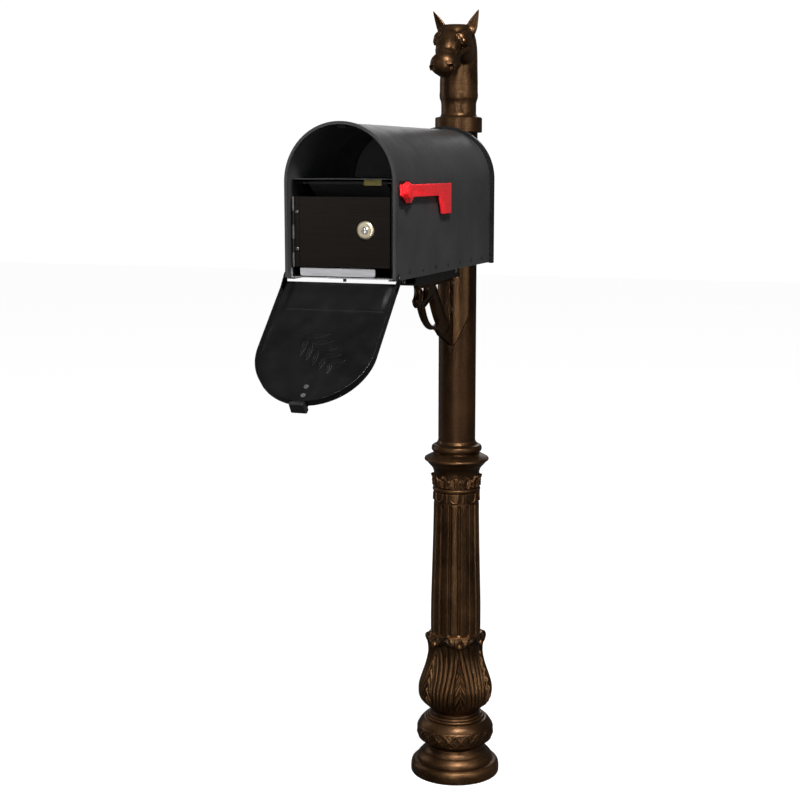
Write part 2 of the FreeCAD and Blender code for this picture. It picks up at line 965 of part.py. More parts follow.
def knuckleStack(name, wanted):
    # alternate knuckles along the pin, each a short tube
    height = (d.lidTop - d.lidBottom) / knuckles
    pieces = []
    for step in range(knuckles):
        if step % 2 != wanted:
            continue
        base = d.lidBottom + height * step + 0.2
        at = (d.leafHingeX, d.leafHingeY, base)
        pieces.append(rod(name + "Knuckle", 2.2, height - 0.4, at))
    return pieces


def leafHinge():
    x = d.leafHingeX
    y = d.leafHingeY
    tall = d.lidTop - d.lidBottom
    bore = rod("LeafBore", 1.05, tall + 2, (x, y, d.lidBottom - 1))
    frameLeaf = box("FrameLeaf", (x - 2.2, y, d.lidBottom), (1.0, 26, tall))
    clearance = []
    height = tall / knuckles
    for step in (1, 3):
        clearance.append(
            box("LeafGap", (x - 3, y - 3, d.lidBottom + height * step - 0.2), (6, 6, height + 0.4))
        )
    finished(
        cut("hinge_frame_leaf", fuse("FrameHalf", frameLeaf, *knuckleStack("Frame", 0)), bore, *clearance),
        "hinge_frame_leaf",
    )
    doorLeaf = box("DoorLeaf", (x, y + 1.2, d.lidBottom), (10, 1.0, tall))
    gaps = []
    for step in (0, 2, 4):
        gaps.append(
            box("DoorLeafGap", (x - 3, y - 3, d.lidBottom + height * step - 0.2), (5.6, 6, height + 0.4))
        )
    screwHoles = [
        rod("LeafScrewHole", 2, 4, (leafScrewX, y - 1, z), (0, 1, 0)) for z in leafScrewHeights
    ]
    finished(
        cut(
            "hinge_door_leaf",
            fuse("DoorHalf", doorLeaf, *knuckleStack("Door", 1)),
            rod("DoorBore", 1.05, tall + 2, (x, y, d.lidBottom - 1)),
            *gaps,
            *screwHoles,
        ),
        "hinge_door_leaf",
    )
    finished(rod("hinge_pin", 1.0, tall + 1, (x, y, d.lidBottom - 0.5)), "hinge_pin")
    for name, z in zip(("lower", "upper"), leafScrewHeights):
        fastener(f"insert_screw_{name}", 3.5, 2.2, 1.9, 6, (leafScrewX, y + 1.2, z), (0, -1, 0))


def lock():
    face = d.insertFront - 2
    x = d.lockX
    z = d.lockZ
    body = turned("lock_body", [
        (6.07, 4.2),
        (6.07, -13),
        (9.4, -13),
        (9.4, 0.05),
        (15, 0.05),
        (15, 1.2, (13.6, 3.2)),
        (10.6, 4.2),
    ])
    place(body, x, face, z, (0, -1, 0))
    nut("lock_nut", 24, 3, 9.45, (x, face + 1.7, z), (0, 1, 0))
    plug = turned("lock_plug", [
        (0, -14.6),
        (6, -14.6),
        (6, 4.0),
        (5.2, 4.6),
        (0, 4.6),
    ])
    place(plug, x, face, z, (0, -1, 0))
    pocketThrough(plug, "XY_Plane", loops=[[
        (-0.7, -3.6),
        (0.7, -3.6),
        (0.7, 3.6),
        (-0.7, 3.6),
    ]], offset=4.6, length=5)
    cam = newBody("lock_cam")
    back = -face - 14.7 - 2
    pad(cam, "XZ_Plane", 2, loops=[[
        (x - 7, z - 7),
        (x + 7, z - 7),
        (x + 6, z + 40, (x, z + 44)),
        (x - 6, z + 40),
    ]], offset=back)


def baffle():
    finished(
        rod(
            "baffle_rod",
            2.0,
            d.insertRight - d.insertLeft + 2,
            (d.insertLeft - 1, d.baffleY, d.baffleZ),
            (1, 0, 0),
        ),
        "baffle_rod",
    )
    slope = -32
    sleeve = rod("BaffleSleeve", 3.4, 140, (-80, d.baffleY, d.baffleZ), (1, 0, 0))
    blade = box("BaffleBlade", (-80, d.baffleY, d.baffleZ - 3.4), (140, 68, 1.2))
    blade.Placement = FreeCAD.Placement(
        FreeCAD.Vector(-80, driving["baffleY"], driving["baffleZ"]),
        FreeCAD.Rotation(FreeCAD.Vector(1, 0, 0), slope),
    ).multiply(FreeCAD.Placement(FreeCAD.Vector(0, 0, 2.2), FreeCAD.Rotation()))
    hole = rod("BaffleBore", 2.07, 144, (-82, d.baffleY, d.baffleZ), (1, 0, 0))
    finished(cut("insert_baffle", fuse("BaffleHalf", sleeve, blade), hole), "insert_baffle")


anchorPlate()
postPipe()
postCastings()
postScrews()
finial()
saddle()
saddleBolts()
supportArm()
mountingPlate()
plateBoltSet()
scrollBrace()
bodyShell()
rearPanel()
floorPan()
floorRivets()
catchSpring()
doorPanel()
doorLatchTab()
doorRivets()
doorPivots()
flagMount()
flagPlate()
flagPivot()
insertChassis()
insertPlates()
insertLid()
leafHinge()
lock()
baffle()
doc.recompute()

failed = [item.Name for item in doc.Objects if "Invalid" in item.State or "Error" in item.State]
if failed:
    raise RuntimeError("objects failed to rebuild: " + ", ".join(failed))
for piece in nodes:
    if piece.Shape.isNull() or not piece.Shape.isValid():
        raise RuntimeError("bad shape: " + piece.Label)
for piece in nodes:
    piece.Shape.exportStep(os.path.join("parts", piece.Label + ".step"))
print(len(nodes), "parts written")
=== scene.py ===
import json
import math

import bmesh
import bpy
import numpy as np
from mathutils import Matrix, Vector


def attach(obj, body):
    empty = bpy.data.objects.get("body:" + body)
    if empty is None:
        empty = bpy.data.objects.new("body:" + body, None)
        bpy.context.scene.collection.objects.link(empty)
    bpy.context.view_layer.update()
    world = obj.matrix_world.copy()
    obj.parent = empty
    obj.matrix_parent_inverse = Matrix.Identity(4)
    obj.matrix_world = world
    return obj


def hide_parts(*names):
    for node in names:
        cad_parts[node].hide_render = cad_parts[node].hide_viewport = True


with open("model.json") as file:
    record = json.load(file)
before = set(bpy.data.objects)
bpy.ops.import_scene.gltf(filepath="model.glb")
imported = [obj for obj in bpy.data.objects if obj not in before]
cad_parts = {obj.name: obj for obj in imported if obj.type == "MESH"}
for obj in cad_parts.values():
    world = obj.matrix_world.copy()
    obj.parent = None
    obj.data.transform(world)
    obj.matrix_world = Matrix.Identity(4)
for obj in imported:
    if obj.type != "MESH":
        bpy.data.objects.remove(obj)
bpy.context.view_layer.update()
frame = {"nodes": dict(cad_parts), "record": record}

mm = 0.001
scene = bpy.context.scene
cadNodes = frame["nodes"]


# small helpers
def toMesh(name, points, faces, smooth=True):
    mesh = bpy.data.meshes.new(name)
    mesh.from_pydata([tuple(p) for p in points], [], [tuple(f) for f in faces])
    mesh.validate()
    mesh.update()
    if smooth:
        mesh.polygons.foreach_set("use_smooth", [True] * len(mesh.polygons))
    piece = bpy.data.objects.new(name, mesh)
    scene.collection.objects.link(piece)
    return piece


def bmeshPiece(work, name):
    mesh = bpy.data.meshes.new(name)
    work.to_mesh(mesh)
    work.free()
    piece = bpy.data.objects.new(name, mesh)
    scene.collection.objects.link(piece)
    return piece


def fixNormals(piece):
    work = bmesh.new()
    work.from_mesh(piece.data)
    bmesh.ops.remove_doubles(work, verts=work.verts, dist=1e-6)
    bmesh.ops.recalc_face_normals(work, faces=work.faces)
    work.to_mesh(piece.data)
    work.free()


def applyModifiers(piece):
    graph = bpy.context.evaluated_depsgraph_get()
    baked = bpy.data.meshes.new_from_object(piece.evaluated_get(graph))
    piece.modifiers.clear()
    piece.data = baked


def joined(name, pieces):
    # several meshes made into one piece
    work = bmesh.new()
    for piece in pieces:
        mesh = piece.data.copy()
        mesh.transform(piece.matrix_world)
        work.from_mesh(mesh)
        bpy.data.objects.remove(piece)
    result = bmeshPiece(work, name)
    result.data.polygons.foreach_set("use_smooth", [True] * len(result.data.polygons))
    return result


def sharpEdges(piece, degrees=35):
    # keeps hard corners crisp on a smooth shaded mesh
    work = bmesh.new()
    work.from_mesh(piece.data)
    limit = math.radians(degrees)
    for edge in work.edges:
        if len(edge.link_faces) == 2 and edge.calc_face_angle(0) > limit:
            edge.smooth = False
    work.to_mesh(piece.data)
    work.free()


def wear(piece, finish, body, slot, *replaced):
    # gives a piece its finish, its body and the cad nodes it stands for
    piece.data.materials.clear()
    piece.data.materials.append(finish)
    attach(piece, body)
    if replaced:
        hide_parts(*replaced)


def smoothStep(low, high, value):
    t = np.clip((value - low) / (high - low), 0, 1)
    return t * t * (3 - 2 * t)


def bell(value, width):
    return np.exp(-((value / width) ** 2))


# finishes
def startFinish(name):
    finish = bpy.data.materials.new(name)
    finish.use_nodes = True
    tree = finish.node_tree
    tree.nodes.clear()
    out = tree.nodes.new("ShaderNodeOutputMaterial")
    shader = tree.nodes.new("ShaderNodeBsdfPrincipled")
    tree.links.new(shader.outputs["BSDF"], out.inputs["Surface"])
    return finish, tree, shader


def noiseNode(tree, scale, detail=3.0, rough=0.6, stretch=None):
    place = tree.nodes.new("ShaderNodeTexCoord")
    noise = tree.nodes.new("ShaderNodeTexNoise")
    noise.inputs["Scale"].default_value = scale
    noise.inputs["Detail"].default_value = detail
    noise.inputs["Roughness"].default_value = rough
    if stretch:
        mapping = tree.nodes.new("ShaderNodeMapping")
        mapping.inputs["Scale"].default_value = stretch
        tree.links.new(place.outputs["Object"], mapping.inputs["Vector"])
        tree.links.new(mapping.outputs["Vector"], noise.inputs["Vector"])
    else:
        tree.links.new(place.outputs["Object"], noise.inputs["Vector"])
    return noise.outputs["Fac"]


def ramp(tree, source, stops):
    node = tree.nodes.new("ShaderNodeValToRGB")
    band = node.color_ramp
    while len(band.elements) < len(stops):
        band.elements.new(0.5)
    for element, (place, colour) in zip(band.elements, stops):
        element.position = place
        element.color = (*colour, 1)
    tree.links.new(source, node.inputs["Fac"])
    return node.outputs["Color"]


def spread(tree, source, low, high, fromLow=0.3, fromHigh=0.7):
    node = tree.nodes.new("ShaderNodeMapRange")
    node.inputs["From Min"].default_value = fromLow
    node.inputs["From Max"].default_value = fromHigh
    node.inputs["To Min"].default_value = low
    node.inputs["To Max"].default_value = high
    tree.links.new(source, node.inputs["Value"])
    return node.outputs["Result"]


def mixColour(tree, factor, first, second, blend="MIX"):
    node = tree.nodes.new("ShaderNodeMix")
    node.data_type = "RGBA"
    node.blend_type = blend
    colourSockets = [s for s in node.inputs if s.type == "RGBA"]
    factorSocket = [s for s in node.inputs if s.type == "VALUE"][0]
    if isinstance(factor, (int, float)):
        factorSocket.default_value = factor
    else:
        tree.links.new(factor, factorSocket)
    for socket, value in zip(colourSockets, (first, second)):
        if isinstance(value, tuple):
            socket.default_value = (*value, 1)
        else:
            tree.links.new(value, socket)
    return [s for s in node.outputs if s.type == "RGBA"][0]


def bump(tree, shader, source, strength, distance):
    node = tree.nodes.new("ShaderNodeBump")
    node.inputs["Strength"].default_value = strength
    node.inputs["Distance"].default_value = distance
    tree.links.new(source, node.inputs["Height"])
    tree.links.new(node.outputs["Normal"], shader.inputs["Normal"])


# darker hollows and lighter ridges, from hollow to ridge: partly the patina of the antique finish, partly painted
# shade in the hollows and painted highlight on the ridges
patinaAndPaintedShade = [(0.45, (0.06, 0.05, 0.045)), (0.497, (0.80, 0.80, 0.80)), (0.55, (2.7, 2.55, 2.4))]


def bronzeFinish(name, look, hollowShade=False):
    finish, tree, shader = startFinish(name)
    cloud = noiseNode(tree, look["cloudScale"], detail=4, rough=0.6)
    base = ramp(tree, cloud, [(0.3, look["dark"]), (0.72, look["light"])])
    if hollowShade:
        # partly patina kept in the hollows and rubbed off the ridges, partly painted shade darkening the hollows and
        # painted highlight lightening the ridges
        shape = tree.nodes.new("ShaderNodeNewGeometry").outputs["Pointiness"]
        hollow = ramp(tree, shape, patinaAndPaintedShade)
        base = mixColour(tree, 1.0, base, hollow, "MULTIPLY")
    grain = noiseNode(tree, look["fleckScale"], detail=2, rough=0.7)
    flecks = ramp(tree, grain, [(look["fleckStart"], (0, 0, 0)), (look["fleckStart"] + 0.07, (1, 1, 1))])
    colour = mixColour(tree, flecks, base, look["fleck"])
    tree.links.new(colour, shader.inputs["Base Color"])
    shader.inputs["Metallic"].default_value = look["metal"]
    tree.links.new(spread(tree, cloud, look["roughLow"], look["roughHigh"]), shader.inputs["Roughness"])
    sand = noiseNode(tree, look["sandScale"], detail=3, rough=0.65)
    bump(tree, shader, sand, look["sandStrength"], distance=0.0004)
    return finish


def sheetFinish(name, look):
    finish, tree, shader = startFinish(name)
    cloud = noiseNode(tree, scale=9, detail=3, rough=0.55)
    wipe = noiseNode(tree, scale=35, detail=4, rough=0.6)
    tree.links.new(ramp(tree, cloud, [(0.3, look["dark"]), (0.7, look["light"])]), shader.inputs["Base Color"])
    shader.inputs["Metallic"].default_value = look.get("metal", 0.0)
    tree.links.new(spread(tree, wipe, look["roughLow"], look["roughHigh"]), shader.inputs["Roughness"])
    shader.inputs["Specular IOR Level"].default_value = look.get("shine", 0.5)
    peel = noiseNode(tree, look["peelScale"], detail=2, rough=0.5)
    bump(tree, shader, peel, look["peelStrength"], distance=0.0003)
    return finish


def brushedFinish(name, look):
    finish, tree, shader = startFinish(name)
    streaks = noiseNode(tree, look["streakScale"], detail=5, rough=0.7, stretch=look["stretch"])
    tree.links.new(ramp(tree, streaks, [(0.25, look["dark"]), (0.75, look["light"])]), shader.inputs["Base Color"])
    shader.inputs["Metallic"].default_value = look["metal"]
    tree.links.new(spread(tree, streaks, look["roughLow"], look["roughHigh"]), shader.inputs["Roughness"])
    bump(tree, shader, streaks, look["grooveStrength"], distance=0.0002)
    return finish


def plasticFinish(name, look):
    finish, tree, shader = startFinish(name)
    cloud = noiseNode(tree, look["cloudScale"], detail=3, rough=0.5)
    wipe = noiseNode(tree, scale=60, detail=3, rough=0.6)
    tree.links.new(ramp(tree, cloud, [(0.3, look["dark"]), (0.7, look["light"])]), shader.inputs["Base Color"])
    tree.links.new(spread(tree, wipe, look["roughLow"], look["roughHigh"]), shader.inputs["Roughness"])
    shader.inputs["Coat Weight"].default_value = look.get("coat", 0.0)
    grain = noiseNode(tree, look["grainScale"], detail=2, rough=0.5)
    bump(tree, shader, grain, look["grainStrength"], distance=0.0003)
    return finish


print("finishes")
castLook = {
    "dark": (0.034, 0.0155, 0.0060),
    "light": (0.102, 0.0500, 0.0200),
    "fleck": (0.46, 0.27, 0.12),
    "cloudScale": 16,
    "fleckScale": 1100,
    "fleckStart": 0.62,
    "metal": 0.88,
    "roughLow": 0.30,
    "roughHigh": 0.44,
    "sandScale": 900,
    "sandStrength": 0.35,
}
bronze = bronzeFinish("oilRubbedBronze", castLook)
# the relief castings and the horse head take this copy, with painted shade in their hollows and painted highlight on
# their ridges
shadedReliefBronze = bronzeFinish("shadedOilRubbedRelief", castLook, True)
bronzeTube = bronzeFinish("oilRubbedBronzeTube", {
    "dark": (0.026, 0.0110, 0.0038),
    "light": (0.062, 0.0280, 0.0105),
    "fleck": (0.42, 0.25, 0.11),
    "cloudScale": 11,
    "fleckScale": 1200,
    "fleckStart": 0.64,
    "metal": 0.86,
    "roughLow": 0.38,
    "roughHigh": 0.5,
    "sandScale": 1000,
    "sandStrength": 0.3,
})
# the shell's black sheet, drawn lighter than the door's copy of the same sheet: painted light on the shell's side
litBlackSheet = sheetFinish("litBlackCoat", {
    "dark": (0.0260, 0.0260, 0.0263),
    "light": (0.0390, 0.0390, 0.0393),
    "roughLow": 0.40,
    "roughHigh": 0.50,
    "shine": 0.36,
    "peelScale": 700,
    "peelStrength": 0.25,
})
# a darker copy of the same black sheet for the door, rear panel and insert: painted shade
shadedBlackSheet = sheetFinish("shadedBlackCoat", {
    "dark": (0.0016, 0.0016, 0.0017),
    "light": (0.0042, 0.0042, 0.0043),
    "roughLow": 0.30,
    "roughHigh": 0.42,
    "peelScale": 700,
    "peelStrength": 0.3,
    "shine": 0.34,
})
blackSteel = sheetFinish("blackSteelPaint", {
    "dark": (0.006, 0.006, 0.006),
    "light": (0.014, 0.013, 0.012),
    "roughLow": 0.42,
    "roughHigh": 0.58,
    "peelScale": 500,
    "peelStrength": 0.35,
})
brushedBlack = brushedFinish("brushedDarkPlate", {
    "dark": (0.005, 0.0038, 0.003),
    "light": (0.017, 0.0125, 0.0095),
    "streakScale": 10,
    "stretch": (1.2, 1.2, 160),
    "metal": 0.7,
    "roughLow": 0.26,
    "roughHigh": 0.4,
    "grooveStrength": 0.12,
})
darkHardware = brushedFinish("darkHardware", {
    "dark": (0.05, 0.047, 0.043),
    "light": (0.16, 0.15, 0.14),
    "streakScale": 60,
    "stretch": (1, 1, 1),
    "metal": 0.9,
    "roughLow": 0.32,
    "roughHigh": 0.5,
    "grooveStrength": 0.15,
})
blackRivet = sheetFinish("blackRivet", {
    "dark": (0.008, 0.008, 0.008),
    "light": (0.02, 0.02, 0.02),
    "roughLow": 0.3,
    "roughHigh": 0.45,
    "peelScale": 400,
    "peelStrength": 0.2,
})
brightRivet = brushedFinish("brightRivet", {
    "dark": (0.55, 0.54, 0.52),
    "light": (0.82, 0.81, 0.79),
    "streakScale": 80,
    "stretch": (1, 1, 1),
    "metal": 1.0,
    "roughLow": 0.25,
    "roughHigh": 0.4,
    "grooveStrength": 0.1,
})
redPlastic = plasticFinish("redPlastic", {
    "dark": (0.860, 0.010, 0.016),
    "light": (0.950, 0.021, 0.028),
    "cloudScale": 20,
    "roughLow": 0.18,
    "roughHigh": 0.3,
    "coat": 0.35,
    "grainScale": 300,
    "grainStrength": 0.08,
})
blackPlastic = plasticFinish("blackPlastic", {
    "dark": (0.006, 0.006, 0.006),
    "light": (0.014, 0.014, 0.014),
    "cloudScale": 40,
    "roughLow": 0.4,
    "roughHigh": 0.55,
    "grainScale": 600,
    "grainStrength": 0.3,
})
lockBrass = brushedFinish("lockBrass", {
    "dark": (0.62, 0.52, 0.34),
    "light": (0.86, 0.78, 0.58),
    "streakScale": 90,
    "stretch": (1, 1, 1),
    "metal": 0.85,
    "roughLow": 0.28,
    "roughHigh": 0.42,
    "grooveStrength": 0.1,
})
lockNickel = brushedFinish("lockNickel", {
    "dark": (0.60, 0.60, 0.58),
    "light": (0.85, 0.85, 0.83),
    "streakScale": 90,
    "stretch": (1, 1, 1),
    "metal": 1.0,
    "roughLow": 0.2,
    "roughHigh": 0.34,
    "grooveStrength": 0.08,
})
bareZinc = brushedFinish("bareZinc", {
    "dark": (0.50, 0.50, 0.52),
    "light": (0.78, 0.78, 0.80),
    "streakScale": 24,
    "stretch": (1, 1, 14),
    "metal": 0.75,
    "roughLow": 0.3,
    "roughHigh": 0.48,
    "grooveStrength": 0.1,
})
yellowZinc = brushedFinish("yellowZinc", {
    "dark": (0.20, 0.17, 0.05),
    "light": (0.42, 0.37, 0.14),
    "streakScale": 50,
    "stretch": (1, 1, 1),
    "metal": 0.8,
    "roughLow": 0.3,
    "roughHigh": 0.45,
    "grooveStrength": 0.1,
})

finishBySlot = {
    "bronze_casting": bronze,
    "bronze_alloy": bronze,
    "bronze_tube": bronzeTube,
    "black_steel": blackSteel,
    "black_sheet": litBlackSheet,
    "brushed_black": brushedBlack,
    "dark_hardware": darkHardware,
    "black_rivet": blackRivet,
    "bright_rivet": brightRivet,
    "red_plastic": redPlastic,
    "black_plastic": blackPlastic,
    "lock_brass": lockBrass,
    "lock_nickel": lockNickel,
    "bare_zinc": bareZinc,
    "yellow_zinc": yellowZinc,
}
# the rear panel, the insert chassis and the flag mount take the darker copy, painted shade; the flag mount also
# stands partly for the shadow under the flag's hub
finishByNode = {"rear_panel": shadedBlackSheet, "insert_chassis": shadedBlackSheet, "flag_mount": shadedBlackSheet}
for row in frame["record"]["subparts"]:
    node = cadNodes[row["node"]]
    for place in node.material_slots:
        place.link = "OBJECT"
        place.material = finishByNode.get(row["node"], finishBySlot[row["material_slot"]])


# cast post
def curveThrough(points, perSpan=8):
    # a smooth line through radius and height pairs; a repeated pair is a hard corner
    line = []
    total = len(points)
    for i in range(total - 1):
        a, b = points[i], points[i + 1]
        if a == b:
            continue
        before = points[i - 1] if i else a
        after = points[i + 2] if i + 2 < total else b
        for step in range(perSpan):
            t = step / perSpan
            line.append(tuple(
                0.5 * (
                    2 * a[k]
                    + (b[k] - before[k]) * t
                    + (2 * before[k] - 5 * a[k] + 4 * b[k] - after[k]) * t * t
                    + (3 * a[k] - before[k] - 3 * b[k] + after[k]) * t ** 3
                )
                for k in (0, 1)
            ))
    line.append(points[-1])
    return line


def turnedPiece(name, look, relief=None):
    # sweeps the outline round the post axis, with the relief added outwards; all in millimetres
    line = curveThrough(look["outline"])
    if relief:
        line = evenRows(line, look["rowStep"])
    columns = look["columns"]
    angles = np.linspace(0, 360, columns, endpoint=False)
    radius = np.array([p[0] for p in line])[:, None] + np.zeros((1, columns))
    height = np.array([p[1] for p in line])[:, None] + np.zeros((1, columns))
    if relief:
        radius = radius + relief(angles[None, :] + 0 * radius, height)
    turn = np.radians(angles)[None, :]
    points = np.stack((radius * np.cos(turn), radius * np.sin(turn), height), axis=-1) * mm
    rows = len(line)
    points = points.reshape(-1, 3).tolist()
    faces = []
    for i in range(rows - 1):
        for j in range(columns):
            k = (j + 1) % columns
            faces.append((i * columns + j, i * columns + k, (i + 1) * columns + k, (i + 1) * columns + j))
    # inner wall closes the casting into a sleeve
    inner = look["bore"]
    base = len(points)
    for z in (line[-1][1], line[0][1]):
        points += [(inner * mm * math.cos(a), inner * mm * math.sin(a), z * mm) for a in turn[0]]
    for j in range(columns):
        k = (j + 1) % columns
        faces.append(((rows - 1) * columns + j, (rows - 1) * columns + k, base + k, base + j))
        faces.append((base + j, base + k, base + columns + k, base + columns + j))
        faces.append((base + columns + j, base + columns + k, k, j))
    piece = toMesh(name, points, faces)
    sharpEdges(piece, 40)
    return piece


def evenRows(line, step):
    # re-spaces the outline so that relief has enough rows everywhere
    path = np.array(line)
    reach = np.concatenate(([0], np.cumsum(np.hypot(*np.diff(path, axis=0).T))))
    spots = np.linspace(0, reach[-1], max(2, int(reach[-1] / step)))
    return list(zip(np.interp(spots, reach, path[:, 0]), np.interp(spots, reach, path[:, 1])))


def around(angle, centre, pitch):
    # signed angle to the nearest of the repeats
    return (angle - centre + pitch / 2) % pitch - pitch / 2


boreRadius = 38.5
foot = {
    "outline": [
        (92.0, 0), (92.8, 1.5), (92.8, 1.5), (93.0, 8), (92.6, 16), (90.5, 22), (86.4, 26), (86.4, 26),
        (80.0, 27.5), (80.0, 27.5), (79.6, 31), (77.8, 36), (73.2, 41.5), (69.6, 44.4), (69.6, 44.4),
        (67.2, 45.5), (67.2, 45.5), (65.0, 50), (62.4, 54), (60.8, 59),
    ],
    "bore": boreRadius,
    "columns": 192,
}
torus = {
    "outline": [
        (60.8, 59), (61.4, 61.5), (64.2, 64.5), (72.0, 70.5), (77.2, 77), (79.4, 84), (79.7, 90), (78.7, 99),
        (76.0, 107), (72.0, 113), (66.6, 118.6), (66.6, 118.6), (61.5, 119.4), (61.5, 119.4),
        (61.9, 121.5), (60.2, 123.6), (57.2, 124.2), (57.2, 124.2), (57.4, 126.4), (55.6, 128.4),
        (52.6, 128.8), (52.6, 128.8), (50.6, 130), (49.8, 132),
    ],
    "bore": boreRadius,
    "columns": 480,
    "rowStep": 0.7,
    "bandMiddle": 88.0,
    "bandHalf": 14.0,
    "bandRadius": 78.0,
    "strapPitch": 24.0,
    "strapHeight": 2.1,
    "strapSlope": 0.95,
    "strapHalf": 0.12,
    # a thin thread beside each strap
    "threadPlace": 0.86,
    "threadHalf": 0.07,
    "threadHeight": 0.55,
    "weave": 0.22,
    "edgeHalf": 1.1,
    "edgeHeight": 0.6,
    "ground": 0.35,
}
vase = {
    "outline": [
        (49.8, 132), (51.5, 138), (58.0, 144.5), (65.0, 151.5), (71.0, 160), (74.2, 170), (74.8, 181),
        (73.6, 192), (70.2, 204), (65.8, 217), (61.0, 231), (57.0, 246), (54.3, 262), (53.6, 276),
        (54.4, 286), (54.2, 296), (52.6, 304),
    ],
    "bore": boreRadius,
    "columns": 640,
    "rowStep": 0.75,
    "leafPitch": 60.0,
    "lancetAngle": -64.0,
    "lancetHalf": 17.5,
    "lancetFoot": 146,
    "lancetTall": 128,
    "foldPitch": 19.0,
    "foldSlope": 2.6,
    "foldHeight": 2.8,
    "ribHeight": 1.4,
    "rimHeight": 2.0,
    "veinHeight": 2.0,
    "veins": 2.0,
    "sway": 0.16,
    "lipLift": 2.6,
    "leafGap": -2.4,
}
# the rolled leaf tips and the beads above the vase
leafTip = {
    "halfTurn": 21,
    "size": 9.4,
    "reach": 53.0,
    "bow": 2.4,
    "middle": 296.4,
    "drop": 15.0,
    "crease": 0.16,
    "rings": 26,
    "sides": 16,
}
bead = {
    "reach": 55.4,
    "height": 285,
    "halfWide": 6.6,
    "halfTall": 7.2,
}
column = {
    "outline": [
        (51.5, 304), (51.6, 330), (51.3, 371), (50.2, 414), (49.0, 457), (47.9, 500), (46.7, 560), (46.4, 605),
    ],
    "bore": boreRadius,
    "columns": 640,
    "rowStep": 1.1,
    "flutes": 16,
    "firstFlute": -76.0,
    "fluteDepth": 3.0,
    "fluteBottom": 306.0,
    "fluteTop": 583.0,
    "fluteHalf": 3.6,
    "fluteEnd": 4,
    "crown": 0.5,
    "shaftRadius": 46.5,
    "tongueHeight": 597.0,
    "tongueRadius": 11.0,
    "tongueRim": 2.3,
    "dartHalf": 1.8,
}
capital = {
    "outline": [
        (46.6, 605), (46.6, 606.5), (46.6, 606.5), (48.6, 608), (49.4, 611), (48.6, 614), (46.9, 615.6),
        (46.9, 615.6), (46.4, 620), (46.6, 630), (46.6, 642), (47.4, 648), (49.4, 654), (52.0, 658), (54.7, 661),
    ],
    "bore": boreRadius,
    "columns": 480,
    "rowStep": 0.7,
    "leaves": 12,
    "firstLeaf": -76.0,
    "leafHeight": 2.376,
    "leafFoot": 618.5,
    "leafHalf": 11.0,
    # two rows of leaves: shift, top and size
    "leafRows": ((0.0, 643, 1.0), (0.5, 636, 0.8)),
    "lowerBead": 617.4,
}
capRing = {
    "outline": [
        (54.7, 661), (57.6, 664), (61.4, 668.6), (64.6, 671), (64.6, 671), (66.0, 672), (66.2, 674.4), (65.4, 676.4),
        (65.4, 676.4), (60.4, 679.2), (54, 682.4), (48.4, 685), (46.6, 686.4), (46.6, 686.4), (46.0, 688),
        (48.6, 689.6), (51.2, 692.6), (51.7, 696.5), (50.8, 700.5), (48.2, 703), (45.4, 704), (45.4, 704),
        (41.4, 706.4), (39.0, 711.6),
    ],
    "bore": boreRadius,
    "columns": 192,
}


def torusRelief(angle, height):
    length = 2 * math.pi * torus["bandRadius"]
    across = np.radians(angle) * torus["bandRadius"]
    up = height - torus["bandMiddle"]
    slant = up * torus["strapSlope"]
    inBand = 1 - smoothStep(torus["bandHalf"] - 2.0, torus["bandHalf"], np.abs(up))
    pitch = length / round(length / torus["strapPitch"])
    total = np.zeros_like(angle)
    for way in (-1, 1):
        # two families of straps that pass over and under each other
        place = ((across + way * slant) / pitch) % 1
        strap = bell(place - 0.5, torus["strapHalf"])
        strap = strap + torus["threadHeight"] * bell(place - torus["threadPlace"], torus["threadHalf"])
        turn = 2 * math.pi * (across - way * slant) / pitch + math.pi * way
        total = np.maximum(total, strap * (1 - torus["weave"] + torus["weave"] * np.cos(turn)))
    edge = bell(np.abs(up) - torus["bandHalf"], torus["edgeHalf"])
    return torus["strapHeight"] * (total * inBand + torus["edgeHeight"] * edge) - torus["ground"] * inBand


def vaseRelief(angle, height):
    pitch = vase["leafPitch"]
    lancet = np.abs(around(angle, vase["lancetAngle"], pitch))
    main = around(angle, vase["lancetAngle"] + pitch / 2, pitch)
    rise = np.clip((height - vase["lancetFoot"]) / vase["lancetTall"], 0, 1)
    wide = vase["lancetHalf"] * (1 - rise ** 1.9)
    inLancet = smoothStep(0.5, -0.5, lancet - wide)
    # nested pointed folds inside the lancet, with a rib down its middle
    folds = 0.5 + 0.5 * np.cos(2 * math.pi * (height + vase["foldSlope"] * lancet) / vase["foldPitch"])
    core = smoothStep(0.4, -0.6, lancet - wide * 0.62 + 1.0)
    lancetShape = core * (vase["foldHeight"] * folds ** 1.4 + vase["ribHeight"] * bell(lancet, 1.4))
    lancetShape = lancetShape + 0.5 - 1.6 * bell(lancet - wide * 0.68, 1.0)
    rim = bell(lancet - wide + 0.9, 1.1) * smoothStep(282, 268, height)
    # veins that follow the edge of the leaf and fan out from its foot
    lie = main / (pitch / 2 - wide)
    sway = vase["sway"] * np.sin(height / 21.0)
    veins = np.abs(np.cos(math.pi * (vase["veins"] * lie + sway))) ** 0.5
    notch = smoothStep(0.0, 0.09, np.abs(lie)) * 0.25 + 0.75
    mainShape = vase["veinHeight"] * (veins * 2 - 1) * notch + 1.2 * (1 - lie ** 2)
    grow = smoothStep(140, 160, height) * smoothStep(303, 290, height)
    lift = smoothStep(252, 292, height) * (1 - smoothStep(0.35, 0.95, np.abs(lie)))
    body = inLancet * lancetShape + (1 - inLancet) * mainShape
    gap = vase["leafGap"] * bell(np.abs(lie) - 1.0, 0.16) * smoothStep(225, 275, height)
    return grow * (body + vase["rimHeight"] * rim) + vase["lipLift"] * lift + grow * gap


